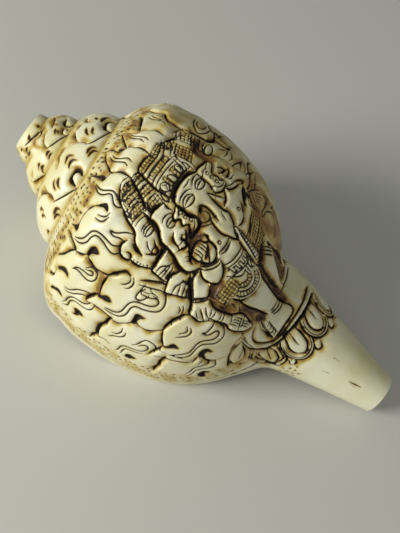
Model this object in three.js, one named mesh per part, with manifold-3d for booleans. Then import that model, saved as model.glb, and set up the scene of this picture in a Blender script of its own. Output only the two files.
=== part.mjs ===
// Carved conch shell: one solid that grew as a right-handed spiral round a coiling axis.
// A place on it is given by t and theta. t is the distance along the coiling axis from the cut
// apex, in mm. theta is the angle round that axis, measured back from the edge of the outer lip
// against the direction of growth, so theta 0 is the lip's edge and theta 360 degrees is the
// wall that the aperture opens onto.

import * as THREE from 'three';
import { mergeVertices } from 'three/addons/utils/BufferGeometryUtils.js';
import Module from 'manifold-3d';

const wasm = await Module();
wasm.setup();

const TAU = Math.PI * 2;
const DEG = Math.PI / 180;

// Size and resting pose
const LENGTH = 178;
const AXIS_TILT = 13.27 * DEG;
const UP_THETA = 122.34 * DEG;
const APEX_POINT = new THREE.Vector3(-86.8, 4.8, 48);

// Growth of the whorls
const SPIRE_POINT = -26.5;
const SUTURE_DROP = 60;
const SUTURE_RADIUS = 31;
const AXIAL_RATIO = 0.75;
const RADIAL_RATIO = 0.59;
const OVALNESS = 0.075;
const SHOULDER_POWER = 2.1;
const SHOULDER_FULLNESS = 0.92;

// Profiles as [t, radius]: the last whorl at the lip, the outside of the canal, and the columella
const BODY_PROFILE = [
  [53.5, 52.5], [64, 54.5], [75, 54.7], [85, 53.7], [93, 52.1], [101, 49.5], [108, 45.9],
  [114, 41.4], [120, 35.4], [126, 27.7], [133, 18.6], [142, 10], [160, 3], [300, 0],
];
const CANAL_PROFILE = [
  [60, 22], [110, 21.5], [125, 20], [133, 18.4], [141, 16.4], [153, 13.7], [165, 11.2], [178, 8.6],
];
const COLUMELLA_PROFILE = [[30, 9.5], [60, 9], [100, 7.6], [130, 5.6], [150, 3.8], [178, 2.4]];
const CANAL_START = 60;
const CANAL_CURL_START = 285 * DEG;
const CANAL_BLEND = 3;

// Hollow of the last whorl, and the blow hole at the cut apex
const WALL = 3.6;
const CANAL_WALL = 2.9;
const WALL_THINS = [100, 150];
const CAVITY_DEPTH = 190 * DEG;
const CAVITY_OVERRUN = 3;
const CAVITY_LEAST_HEIGHT = 1;
const COLUMELLA_SKIN = 0.2;
const BLOW_HOLE = { radius: 4.5, taper: 0.5, depth: 24, sides: 20 };

// Carving: tops lie on the shell's own surface and the ground is cut away round them
const GROUND_DEPTH = 1.8;
const SPIRE_GROUND_DEPTH = 1;
const APEX_RIM = 3;
const CARVED_THETA = { first: 12, last: 292, fade: 5 };
const CARVED_END = { t: 143, fade: 2 };
const OVAL_EDGE = [0.78, 1.12];

// Raised shapes as [t, theta in degrees, half length in mm, half width in degrees]
const FLAMES = [
  [54, 33, 13, 9], [82, 32, 12, 9], [105, 31, 9.5, 9],
  [50, 52, 10, 9], [73, 55, 14, 10.5], [99, 54, 12.5, 12.5],
  [50, 72, 14, 9.5], [43, 90, 10, 7.5], [37, 105, 6, 5.5], [37, 118, 6, 5], [37, 132, 6, 6],
  [40, 149, 7, 7], [52, 150, 6, 7], [67, 152, 9, 8],
];
const FIGURE = [
  [48, 112, 7, 23], [63, 111, 9, 24], [74, 110, 11, 16], [62, 86, 12, 7], [88, 112, 9, 20],
  [72, 136, 12, 9], [82, 78, 9, 8], [95, 99, 8, 11], [104, 80, 9, 8], [112, 94, 12, 9],
  [121, 98, 4, 8], [88, 134, 9, 8],
];
const LOTUS_BASE = [[124, 95, 3, 34]];
const LOTUS_PETALS = { t: 135, first: 17, pitch: 34, count: 9, halfLength: 6, halfWidth: 13 };
const BACK_FLAMES = { halfLength: 9.5, halfWidth: 10.5 };
const BACK_FLAME_ROWS = [
  { t: 47, first: 172, pitch: 25 }, { t: 66, first: 184, pitch: 26 }, { t: 86, first: 171, pitch: 26 },
  { t: 105, first: 184, pitch: 28 }, { t: 118, first: 168, pitch: 34 },
];
const SPIRE_LOBE_PITCH = 34 * DEG;

// Fineness of the faces
const THETA_STEPS = 84;
const OLDEST_WHORL = 3;
const WHORL_ROWS = 5;
const BODY_ROWS = 24;
const CAVITY_COLUMNS = 13;
const CAVITY_ROWS = 22;

// Smooth curve through the points that never overshoots them
function smoothProfile(points) {
  const steps = points.slice(1).map(([t], i) => t - points[i][0]);
  const slopes = steps.map((step, i) => (points[i + 1][1] - points[i][1]) / step);
  const tangents = points.map((_, i) => {
    if (i === 0) return slopes[0];
    if (i === points.length - 1) return slopes[i - 1];
    if (slopes[i - 1] * slopes[i] <= 0) return 0;
    const before = 2 * steps[i] + steps[i - 1];
    const after = steps[i] + 2 * steps[i - 1];
    return (before + after) / (before / slopes[i - 1] + after / slopes[i]);
  });
  return (t) => {
    const last = points.length - 1;
    if (t <= points[0][0]) return points[0][1];
    if (t >= points[last][0]) return points[last][1];
    const i = points.findIndex(([end]) => t < end) - 1;
    const step = steps[i];
    const x = (t - points[i][0]) / step;
    const rise = x * x * (3 - 2 * x);
    return points[i][1] * (1 - rise) + points[i + 1][1] * rise
      + step * x * (1 - x) * (tangents[i] * (1 - x) - tangents[i + 1] * x);
  };
}

const bodyRadius = smoothProfile(BODY_PROFILE);
const canalRadius = smoothProfile(CANAL_PROFILE);
const columellaRadius = smoothProfile(COLUMELLA_PROFILE);

const clamp01 = (x) => Math.min(1, Math.max(0, x));

function smoothStep(low, high, x) {
  const s = clamp01((x - low) / (high - low));
  return s * s * (3 - 2 * s);
}

function smoothMax(a, b, blend) {
  const h = clamp01(0.5 + 0.5 * (a - b) / blend);
  return b + (a - b) * h + blend * h * (1 - h);
}

// The suture is the seam between two whorls. phi is theta plus the whole turns further back.
const sutureT = (phi) => SPIRE_POINT + SUTURE_DROP * AXIAL_RATIO ** (phi / TAU);

function sutureRadius(phi) {
  const oval = 1 + OVALNESS * (1 - Math.cos(phi)) / 2;
  return SUTURE_RADIUS * RADIAL_RATIO ** (phi / TAU) * oval;
}

// Outside of the whorl that passes phi: its shoulder, and below that its body
function whorlRadius(t, phi) {
  const top = sutureT(phi);
  const bottom = sutureT(phi - TAU);
  const across = (t - top) / (bottom - top);
  if (across < 1) {
    const rise = (1 - (1 - clamp01(across)) ** SHOULDER_POWER) ** SHOULDER_FULLNESS;
    return sutureRadius(phi) + (sutureRadius(phi - TAU) - sutureRadius(phi)) * rise;
  }
  const sameAgeT = SPIRE_POINT + (t - SPIRE_POINT) / AXIAL_RATIO ** (phi / TAU);
  return sutureRadius(phi - TAU) * bodyRadius(sameAgeT) / BODY_PROFILE[0][1];
}

// Whole turns back from the lip to the whorl that shows at a place
function turnsBack(t, theta) {
  let turns = 0;
  while (t < sutureT(theta + TAU * turns)) turns += 1;
  return turns;
}

// Outside of the shell before it is carved
function shellRadius(t, theta) {
  const whorl = whorlRadius(t, theta + TAU * turnsBack(t, theta));
  if (t < CANAL_START) return whorl;
  const curl = smoothStep(CANAL_CURL_START, TAU, theta);
  const canal = canalRadius(t) * (1 - curl) + columellaRadius(t) * curl;
  return smoothMax(whorl, canal, CANAL_BLEND);
}

// Floor of the hollow: the whorl one turn further back, and the columella below it
const coreRadius = (t, theta) =>
  smoothMax(whorlRadius(t, theta + TAU), columellaRadius(t), CANAL_BLEND);

// Share of the full height that a raised oval has at a place, 1 on its top and 0 outside it
function ovalHeight(t, degrees, [ovalT, ovalTheta, halfLength, halfWidth]) {
  const away = Math.hypot((t - ovalT) / halfLength, (degrees - ovalTheta) / halfWidth);
  return 1 - smoothStep(...OVAL_EDGE, away);
}

function backFlames() {
  return BACK_FLAME_ROWS.flatMap(({ t, first, pitch }) => {
    const flames = [];
    for (let at = first; at < CARVED_THETA.last; at += pitch) {
      flames.push([t, at, BACK_FLAMES.halfLength, BACK_FLAMES.halfWidth]);
    }
    return flames;
  });
}

function lotusPetals() {
  const { t, first, pitch, count, halfLength, halfWidth } = LOTUS_PETALS;
  return Array.from({ length: count }, (_, i) => [t, first + i * pitch, halfLength, halfWidth]);
}

const RAISED = [...FLAMES, ...FIGURE, ...LOTUS_BASE, ...lotusPetals(), ...backFlames()];

// Depth of the carving on the last whorl
function bodyCarving(t, degrees) {
  const { first, last, fade } = CARVED_THETA;
  const zone = smoothStep(first - fade, first + fade, degrees)
    * (1 - smoothStep(last - fade, last + fade, degrees))
    * (1 - smoothStep(CARVED_END.t - CARVED_END.fade, CARVED_END.t, t));
  const raised = Math.max(...RAISED.map((oval) => ovalHeight(t, degrees, oval)));
  return GROUND_DEPTH * zone * (1 - raised);
}

// Depth of the carving on the spire, whose lobes stand in one row on each whorl
function spireCarving(t, phi) {
  const across = (t - sutureT(phi)) / (sutureT(phi - TAU) - sutureT(phi));
  const lobe = Math.cos(phi / SPIRE_LOBE_PITCH * TAU);
  return SPIRE_GROUND_DEPTH * Math.sin(Math.PI * clamp01(across)) * (0.5 - 0.5 * lobe);
}

// The last whorl's flames end before the wall beside the aperture, where the spire's row begins
function carvedRadius(t, theta) {
  const turns = turnsBack(t, theta);
  const spire = spireCarving(t, theta + TAU * turns);
  const spireShare = turns === 0 ? smoothStep(CARVED_THETA.last * DEG, TAU, theta) : 1;
  const body = turns === 0 ? bodyCarving(t, theta / DEG) : 0;
  return shellRadius(t, theta) - (body + spire * spireShare) * smoothStep(0, APEX_RIM, t);
}

const AXIS = new THREE.Vector3(Math.cos(AXIS_TILT), 0, -Math.sin(AXIS_TILT));
const AWAY_FROM_GROUND = new THREE.Vector3(Math.sin(AXIS_TILT), 0, Math.cos(AXIS_TILT));
const SIDEWAYS = new THREE.Vector3(0, 1, 0);

function place(t, theta, radius) {
  return APEX_POINT.clone()
    .addScaledVector(AXIS, t)
    .addScaledVector(AWAY_FROM_GROUND, radius * Math.cos(theta - UP_THETA))
    .addScaledVector(SIDEWAYS, radius * Math.sin(theta - UP_THETA));
}

// Rows of one column of the outside, from the apex cut, suture by suture, to the canal's tip
function outsideColumn(theta) {
  const rows = [0];
  const fill = (to, count) => {
    const from = rows.at(-1);
    for (let i = 1; i <= count; i += 1) rows.push(from + (to - from) * i / count);
  };
  for (let turns = OLDEST_WHORL - 1; turns >= -1; turns -= 1) {
    fill(Math.max(0, sutureT(theta + TAU * turns)), WHORL_ROWS);
  }
  fill(LENGTH, BODY_ROWS);
  return rows;
}

// Triangles are collected as loose corners, then merged into a closed mesh
class Skin {
  constructor() {
    this.corners = [];
  }

  triangle(a, b, c) {
    const tiny = 1e-4;
    if (a.distanceTo(b) < tiny || b.distanceTo(c) < tiny || c.distanceTo(a) < tiny) return;
    for (const corner of [a, b, c]) this.corners.push(corner.x, corner.y, corner.z);
  }

  quad(a, b, c, d) {
    this.triangle(a, b, c);
    this.triangle(a, c, d);
  }

  // Flat face inside a closed outline given in the face's own plane
  face(points, flat, reversed) {
    for (const [a, b, c] of THREE.ShapeUtils.triangulateShape(flat, [])) {
      if (reversed) this.triangle(points[a], points[c], points[b]);
      else this.triangle(points[a], points[b], points[c]);
    }
  }

  solid() {
    const loose = new THREE.BufferGeometry();
    loose.setAttribute('position', new THREE.Float32BufferAttribute(this.corners, 3));
    return solidFrom(mergeVertices(loose, 1e-3));
  }
}

function solidFrom(geometry) {
  const mesh = new wasm.Mesh({
    numProp: 3,
    vertProperties: new Float32Array(geometry.attributes.position.array),
    triVerts: new Uint32Array(geometry.index.array),
  });
  return new wasm.Manifold(mesh);
}

// Solid of the outside. At the lip the last whorl steps down to the wall beside the aperture.
function outsideSolid() {
  const skin = new Skin();
  const columns = [];
  for (let i = 0; i <= THETA_STEPS; i += 1) {
    const theta = TAU * i / THETA_STEPS;
    columns.push(outsideColumn(theta).map((t) => ({ t, radius: carvedRadius(t, theta), theta })));
  }
  const at = ({ t, theta, radius }) => place(t, theta % TAU, radius);
  const points = columns.map((column) => column.map(at));
  for (let i = 0; i < THETA_STEPS; i += 1) {
    for (let j = 0; j + 1 < points[i].length; j += 1) {
      skin.quad(points[i][j], points[i][j + 1], points[i + 1][j + 1], points[i + 1][j]);
    }
  }
  closeLip(skin, columns, points);
  closeEnds(skin, columns, points);
  return skin.solid();
}

// Face between the lip's edge and the wall one turn further back, in the plane theta 0
function closeLip(skin, columns, points) {
  const lipStart = columns[0].length - 1 - BODY_ROWS - WHORL_ROWS;
  const wallStart = columns[0].length - 1 - BODY_ROWS;
  const wall = columns[THETA_STEPS].slice(wallStart + 1).reverse();
  const wallPoints = points[THETA_STEPS].slice(wallStart + 1).reverse();
  const outline = [...columns[0].slice(lipStart), ...wall];
  const flat = outline.map(({ t, radius }) => new THREE.Vector2(t, radius));
  skin.face([...points[0].slice(lipStart), ...wallPoints], flat, false);
}

function closeEnds(skin, columns, points) {
  const flatRing = (row) => columns.map((column) => {
    const { theta, radius } = column[row];
    return new THREE.Vector2(radius * Math.cos(theta), radius * Math.sin(theta));
  });
  const tip = columns[0].length - 1;
  skin.face(points.map((column) => column[tip]), flatRing(tip), true);
  skin.face(points.slice(0, -1).map((column) => column[0]), flatRing(0).slice(0, -1), false);
}

// Where the hollow starts below the suture, once the wall has left the whorl above it
function cavityTop(theta, roofAt, floorAt) {
  const search = 0.5;
  let t = sutureT(theta) + search;
  while (roofAt(t) < floorAt(t) + CAVITY_LEAST_HEIGHT / 2) t += search;
  return t;
}

// Hollow of the last whorl, from just outside the aperture back round to its blind end, and
// out through the tip of the canal
function cavitySolid() {
  const skin = new Skin();
  const tip = LENGTH + CAVITY_OVERRUN;
  const thetas = [-CAVITY_OVERRUN * DEG];
  for (let i = 0; i <= CAVITY_COLUMNS; i += 1) thetas.push(CAVITY_DEPTH * i / CAVITY_COLUMNS);
  const floors = [];
  const roofs = [];
  for (const theta of thetas) {
    const inside = Math.max(theta, 0);
    const floorAt = (t) => coreRadius(t, inside) + COLUMELLA_SKIN;
    const wallAt = (t) => WALL + (CANAL_WALL - WALL) * smoothStep(...WALL_THINS, t);
    const roofAt = (t) => shellRadius(t, inside) - wallAt(t);
    const top = cavityTop(inside, roofAt, floorAt);
    const rows = Array.from({ length: CAVITY_ROWS + 1 }, (_, j) => top + (tip - top) * j / CAVITY_ROWS);
    floors.push(rows.map((t) => place(t, theta, floorAt(Math.min(t, LENGTH)))));
    roofs.push(rows.map((t) => {
      const clear = Math.min(t, LENGTH);
      return place(t, theta, Math.max(roofAt(clear), floorAt(clear) + CAVITY_LEAST_HEIGHT));
    }));
  }
  const last = CAVITY_ROWS;
  for (let i = 0; i + 1 < thetas.length; i += 1) {
    for (let j = 0; j < last; j += 1) {
      skin.quad(roofs[i][j], roofs[i][j + 1], roofs[i + 1][j + 1], roofs[i + 1][j]);
      skin.quad(floors[i][j], floors[i + 1][j], floors[i + 1][j + 1], floors[i][j + 1]);
    }
    skin.quad(roofs[i][last], floors[i][last], floors[i + 1][last], roofs[i + 1][last]);
    skin.quad(roofs[i][0], roofs[i + 1][0], floors[i + 1][0], floors[i][0]);
  }
  const end = thetas.length - 1;
  for (let j = 0; j < last; j += 1) {
    skin.quad(roofs[0][j], floors[0][j], floors[0][j + 1], roofs[0][j + 1]);
    skin.quad(roofs[end][j], roofs[end][j + 1], floors[end][j + 1], floors[end][j]);
  }
  return skin.solid();
}

function mergedSolid(geometry) {
  geometry.deleteAttribute('normal');
  geometry.deleteAttribute('uv');
  return solidFrom(mergeVertices(geometry, 1e-4));
}

function blowHoleSolid() {
  const { radius, taper, depth, sides } = BLOW_HOLE;
  const bore = new THREE.CylinderGeometry(radius + taper, radius - taper, depth * 2, sides);
  const along = new THREE.Quaternion().setFromUnitVectors(SIDEWAYS, AXIS.clone().negate());
  bore.applyQuaternion(along);
  bore.translate(APEX_POINT.x, APEX_POINT.y, APEX_POINT.z);
  return mergedSolid(bore);
}

// Ground flats: the lip, the wall beside it and the canal's tip are rubbed down to one plane
function groundSolid() {
  const size = 400;
  const block = new THREE.BoxGeometry(size, size, size);
  block.translate(0, 0, -size / 2);
  return mergedSolid(block);
}

function shellGeometry() {
  const solid = outsideSolid()
    .subtract(cavitySolid())
    .subtract(blowHoleSolid())
    .subtract(groundSolid());
  const { vertProperties, triVerts } = solid.getMesh();
  const geometry = new THREE.BufferGeometry();
  geometry.setAttribute('position', new THREE.BufferAttribute(new Float32Array(vertProperties), 3));
  geometry.setIndex(new THREE.BufferAttribute(new Uint32Array(triVerts), 1));
  geometry.computeVertexNormals();
  return geometry;
}

const ivoryShell = new THREE.MeshStandardMaterial({ color: '#e6dfc0', roughness: 0.35, metalness: 0 });

const conch = new THREE.Group();
const shell = new THREE.Mesh(shellGeometry(), ivoryShell);
shell.name = 'conch_shell';
conch.add(shell);

export default conch;
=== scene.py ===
import math

import bpy
import numpy as np
from mathutils import Matrix, Vector, kdtree
from mathutils.geometry import delaunay_2d_cdt, tessellate_polygon


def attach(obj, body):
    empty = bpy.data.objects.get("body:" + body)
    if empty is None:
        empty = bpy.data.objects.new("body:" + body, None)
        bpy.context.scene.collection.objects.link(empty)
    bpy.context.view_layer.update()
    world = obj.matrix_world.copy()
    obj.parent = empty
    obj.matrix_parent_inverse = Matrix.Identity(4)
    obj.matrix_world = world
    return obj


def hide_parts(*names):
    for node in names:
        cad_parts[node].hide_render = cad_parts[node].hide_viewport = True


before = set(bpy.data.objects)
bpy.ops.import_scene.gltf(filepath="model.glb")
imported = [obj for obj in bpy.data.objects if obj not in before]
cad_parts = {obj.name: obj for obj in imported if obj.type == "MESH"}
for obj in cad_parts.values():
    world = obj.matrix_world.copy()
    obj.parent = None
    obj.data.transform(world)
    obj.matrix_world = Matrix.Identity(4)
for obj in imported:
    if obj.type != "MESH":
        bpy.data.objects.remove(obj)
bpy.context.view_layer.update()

# A chank shell, hard and white, that grew as one spiral round a coiling axis. Its apex is cut off,
# and it is ground flat where it stands. A place on it is t, the mm along the axis from the cut, and
# theta, the angle round the axis, counted back from the edge of the outer lip.
TAU = 2 * math.pi
LENGTH = 178
AXIS_TILT = math.radians(13.27)
UP_THETA = math.radians(122.34)
APEX_POINT = np.array([-86.8, 4.8, 48])
SPIRE_POINT = -26.5
SUTURE_DROP = 60
SUTURE_RADIUS = 31
AXIAL_RATIO = 0.75
RADIAL_RATIO = 0.59
OVALNESS = 0.075
SHOULDER_POWER = 2.1
SHOULDER_FULLNESS = 0.92
BODY_PROFILE = [
    (53.5, 52.5), (64, 54.5), (75, 54.7), (85, 53.7), (93, 52.1), (101, 49.5), (108, 45.9),
    (114, 41.4), (120, 35.4), (126, 27.7), (133, 18.6), (142, 10), (160, 3), (300, 0),
]
CANAL_PROFILE = [
    (60, 22), (110, 21.5), (125, 20), (133, 18.4), (141, 16.4), (153, 13.7), (165, 11.2), (LENGTH, 8.6),
]
COLUMELLA_PROFILE = [(30, 9.5), (60, 9), (100, 7.6), (130, 5.6), (150, 3.8), (LENGTH, 2.4)]
CANAL_START = 60
CANAL_CURL_START = math.radians(285)
CANAL_BLEND = 3
AXIS = np.array([math.cos(AXIS_TILT), 0, -math.sin(AXIS_TILT)])
AWAY_FROM_GROUND = np.array([math.sin(AXIS_TILT), 0, math.cos(AXIS_TILT)])
SIDEWAYS = np.array([0, 1, 0])
ROUNDING = 1e-9


def smooth_profile(points):
    """Smooth curve through (t, radius) points that never overshoots them."""
    t, radius = np.array(points, float).T
    step = np.diff(t)
    slope = np.diff(radius) / step
    before = 2 * step[1:] + step[:-1]
    after = step[1:] + 2 * step[:-1]
    same_way = slope[:-1] * slope[1:] > 0
    safe = np.where(same_way[:, None], np.stack([slope[:-1], slope[1:]], 1), 1)
    inner = np.where(same_way, (before + after) / (before / safe[:, 0] + after / safe[:, 1]), 0)
    tangent = np.concatenate([slope[:1], inner, slope[-1:]])

    def value(at):
        at = np.clip(at, t[0], t[-1])
        i = np.clip(np.searchsorted(t, at, side="right") - 1, 0, len(t) - 2)
        x = (at - t[i]) / step[i]
        rise = x * x * (3 - 2 * x)
        bulge = step[i] * x * (1 - x) * (tangent[i] * (1 - x) - tangent[i + 1] * x)
        return radius[i] * (1 - rise) + radius[i + 1] * rise + bulge

    return value


body_radius = smooth_profile(BODY_PROFILE)
canal_radius = smooth_profile(CANAL_PROFILE)
columella_radius = smooth_profile(COLUMELLA_PROFILE)


def smooth_step(low, high, x):
    s = np.clip((x - low) / (high - low), 0, 1)
    return s * s * (3 - 2 * s)


def smooth_max(a, b, blend):
    h = np.clip(0.5 + 0.5 * (a - b) / blend, 0, 1)
    return b + (a - b) * h + blend * h * (1 - h)


def suture_t(phi):
    """The seam between two whorls. phi is theta plus the whole turns further back."""
    return SPIRE_POINT + SUTURE_DROP * AXIAL_RATIO ** (phi / TAU)


def suture_radius(phi):
    oval = 1 + OVALNESS * (1 - np.cos(phi)) / 2
    return SUTURE_RADIUS * RADIAL_RATIO ** (phi / TAU) * oval


def whorl_radius(t, phi):
    """Outside of the whorl that passes phi: its shoulder, and below that its body."""
    top = suture_t(phi)
    bottom = suture_t(phi - TAU)
    across = (t - top) / (bottom - top)
    rise = (1 - (1 - np.clip(across, 0, 1)) ** SHOULDER_POWER) ** SHOULDER_FULLNESS
    shoulder = suture_radius(phi) + (suture_radius(phi - TAU) - suture_radius(phi)) * rise
    same_age_t = SPIRE_POINT + (t - SPIRE_POINT) / AXIAL_RATIO ** (phi / TAU)
    body = suture_radius(phi - TAU) * body_radius(same_age_t) / BODY_PROFILE[0][1]
    return np.where(across < 1, shoulder, body)


def turns_back(t, theta):
    """Whole turns back from the lip to the whorl that shows at a place."""
    turns = np.log((t - SPIRE_POINT) / SUTURE_DROP) / math.log(AXIAL_RATIO) - theta / TAU
    return np.maximum(0, np.ceil(turns - ROUNDING))


def shell_radius(t, theta):
    """Outside of the shell before it is carved."""
    whorl = whorl_radius(t, theta + TAU * turns_back(t, theta))
    curl = smooth_step(CANAL_CURL_START, TAU, theta)
    canal = canal_radius(t) * (1 - curl) + columella_radius(t) * curl
    return np.where(t < CANAL_START, whorl, smooth_max(whorl, canal, CANAL_BLEND))


def core_radius(t, theta):
    """Floor of the hollow: the whorl one turn further back, and the columella below it."""
    return smooth_max(whorl_radius(t, theta + TAU), columella_radius(t), CANAL_BLEND)


def radial(theta):
    theta = np.asarray(theta)[..., None]
    return np.cos(theta - UP_THETA) * AWAY_FROM_GROUND + np.sin(theta - UP_THETA) * SIDEWAYS


def place(t, theta, radius):
    """Point in mm, in the frame of the CAD."""
    return APEX_POINT + np.asarray(t)[..., None] * AXIS + np.asarray(radius)[..., None] * radial(theta)


def on_shell(t, theta):
    return place(t, theta, shell_radius(t, theta))


# The carving is cut by hand with gravers and burrs, then rubbed with a dark stain that stays in
# the cuts. Its tops keep the shell's own surface. Each path is drawn as "t,theta t,theta ..." in
# mm and degrees, a point given twice is a corner, and ; ends the path.
PATH_SPACING = 0.5
TINY = 1e-6
DEGREE = math.pi / 180
RING_SIDES = 12
# Kinds of cut: half width, depth and ink. Then, for each side, how far and how deep the surface
# sinks towards the cut, width and strength of the amber wash, and how far the ink spreads, in half
# widths. Lengths are in mm. The side on the left of a path as drawn is the raised one, which
# overlaps the other at an outline. On the other, under side the wider and stronger wash and ink
# stand for stain and also paint the shade that falls beneath the overlapping edge.
CUT_KINDS = {
    "deep": dict(half=0.8, depth=1.0, ink=1,
                 raised=(1.9, 0.5, 0.5, 0.35, 1.2), under=(4.6, 1.8, 1.5, 0.9, 2.2)),
    "outline": dict(half=0.5, depth=0.7, ink=1,
                    raised=(1.7, 0.35, 0.4, 0.25, 1.2), under=(4, 1.3, 1.2, 0.75, 1.9)),
    "scale": dict(half=0.4, depth=0.6, ink=0.62,
                  raised=(1.7, 0.35, 0.4, 0.25, 1.2), under=(3.4, 1.1, 1.3, 0.8, 1.7)),
    "slot": dict(half=0.8, depth=1.5, ink=1,
                 raised=(2.4, 0.7, 0.9, 0.6, 1.3), under=(2.4, 0.7, 0.9, 0.6, 1.3)),
    "engraved": dict(half=0.5, depth=0.5, ink=1,
                     raised=(1, 0.1, 0.4, 0.2, 1.3), under=(1, 0.1, 0.5, 0.3, 1.3)),
    "grid": dict(half=0.26, depth=0.45, ink=0.8,
                 raised=(0.8, 0.12, 0.6, 0.5, 1.15), under=(0.8, 0.12, 0.6, 0.5, 1.15)),
    "fine": dict(half=0.4, depth=0.35, ink=1,
                 raised=(0.6, 0.05, 0.4, 0.25, 1.3), under=(0.6, 0.05, 0.4, 0.25, 1.3)),
    "crack": dict(half=0.36, depth=0.02, ink=0.62,
                  raised=(0.5, 0, 0.5, 0.05, 1.3), under=(0.5, 0, 0.5, 0.05, 1.3)),
}
# Kinds of sunk ground: width of its sloping edge and depth, how far and how deep the surface round
# it sinks, ink, width and strength of the amber wash along its edge, and the amber on its floor.
# The amber of the last kind stands for stain and also paints the shade between raised parts.
REGION_KINDS = {
    "pit": dict(edge=0.35, depth=1.25, roll=1.6, sink=0.25, ink=1.0, wash=0.6, amber=0.45, floor=0.9),
    "comma": dict(edge=0.3, depth=0.8, roll=1.0, sink=0.1, ink=0.5, wash=0.45, amber=0.4, floor=1.0),
    "ground": dict(edge=0.9, depth=1.2, roll=2, sink=0.4, ink=0.42, wash=1.2, amber=0.8, floor=0.85),
    "stained": dict(edge=1.6, depth=0.25, roll=1.0, sink=0.0, ink=0.0, wash=1.4, amber=0.35, floor=0.5),
}
cuts = {kind: [] for kind in CUT_KINDS}
regions = {kind: [] for kind in REGION_KINDS}
dots = []


def radius_at(t, theta):
    """Radius in mm at one place."""
    return float(shell_radius(np.array(t), np.array(theta)))


def pairs(path):
    return np.array([pair.split(",") for pair in path.split()], float)


def drawn(text):
    """Paths drawn as text, as arrays of (t, theta in radians)."""
    return [pairs(path) * (1, DEGREE) for path in text.split(";")]


def smooth_path(points):
    """Places every half millimetre along a smooth curve through the drawn points."""
    padded = np.concatenate([points[:1], points, points[-1:]])
    middle = (points[1:] + points[:-1]) / 2
    radius = shell_radius(middle[:, 0], middle[:, 1])
    lengths = np.hypot(np.diff(points[:, 0]), np.diff(points[:, 1]) * radius)
    places = []
    for i, length in enumerate(lengths):
        a, b, c, d = padded[i:i + 4]
        count = max(1, math.ceil(length / PATH_SPACING))
        x = (np.arange(count) / count)[:, None]
        if length > TINY:
            places.append(0.5 * (2 * b + (c - a) * x + (2 * a - 5 * b + 4 * c - d) * x ** 2
                                 + (3 * b - a - 3 * c + d) * x ** 3))
    places.append(points[-1:])
    return np.concatenate(places)


def closed(path):
    return np.concatenate([path, path[:1]])


def cut(kind, text):
    cuts[kind].extend(smooth_path(path) for path in drawn(text))


def hollow(kind, text):
    """Closed shapes that are cut down as a whole."""
    regions[kind].extend(smooth_path(closed(path)) for path in drawn(text))


def cut_points(kind, points):
    """One path whose points, (t, theta in degrees), come from a rule."""
    cuts[kind].append(smooth_path(np.array(points, float) * (1, DEGREE)))


def ring(kind, t, degrees, radius_mm):
    """Small circle round a place."""
    wide = radius_mm / radius_at(t, degrees * DEGREE) / DEGREE
    turn = np.linspace(0, TAU, RING_SIDES + 1)
    cut_points(kind, np.stack([t + radius_mm * np.cos(turn), degrees + wide * np.sin(turn)], 1))


# Flames: broad tongues that lean over each other like scales, on the left of the figure. Each
# has a curled tip with a drilled pit under it and a pair of engraved waves along its middle.
cut("outline", """
    39.5,79.5 38.3,76.5 37.7,72.5 37.8,69 38.4,66 39,64.5;
    43.5,57 40,57.2 36.3,57.6;
    43.5,57 45.5,58.2 47.2,60;
    48,60 49,59 51,58.2 53,57.8 55.5,58.5 58,59.6;
    43,57 41.8,55 41,52 40.3,49 39.3,46 38.6,43 39.5,41 41.3,41;
    58,59 58,56 58.3,53 59.3,50.3;
    57,41.6 58,42 60,42.8 63,43.2 66,43 68.5,42.4 71,42.8 72.5,44 74,45.8 75,47.5;
    76.8,48.6 78.5,48 80.5,48 82.5,49 84.5,50.8 86,52;
    86.2,51.8 87,49.5 88,47.3 89.3,45.4 90,44.5;
    90,44.5 89.8,42 89.3,39.5 88.3,36 88,34.8;
    103.5,45 103.8,42 103.5,39.8;
    105,45 106.3,43.5 108,42.5 109,41 109,39;
    106,44.5 108,43.3 110,43.2 111.5,44.5 112.6,46.5;
    112.6,51 112.3,53 112,57 112,61 112.5,65;
    41.5,40 41.6,37 41.7,34 41,31 40,28.5 40.6,26.5 42.4,25.6 43.8,26
""")
cut("deep", """
    64,65.2 62.3,65 61,63.8 59.5,61.5 58,59.6;
    59.3,49 58.2,47 57.3,44.5 56.8,42;
    89.6,64.7 88.7,63.3 87.8,61 86.8,58 86.2,55 86,52;
    68.5,42.3 68,40 68,37 67.3,34.5 67.3,31.5 67.8,29 68.5,27 67.5,24 67,21;
    94,37.8 94.2,35 94,32 94.6,28.5 94.4,25 94.6,22.7
""")
cut("engraved", """
    90,36.3 92,36.6 94.5,37.5 97,37.8 100,38.6 103,39.5;
    69,27 70.5,28 72,28.5 74,27.8
""")
cut("crack", "88,41.3 95,41 103,41.3")
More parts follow.
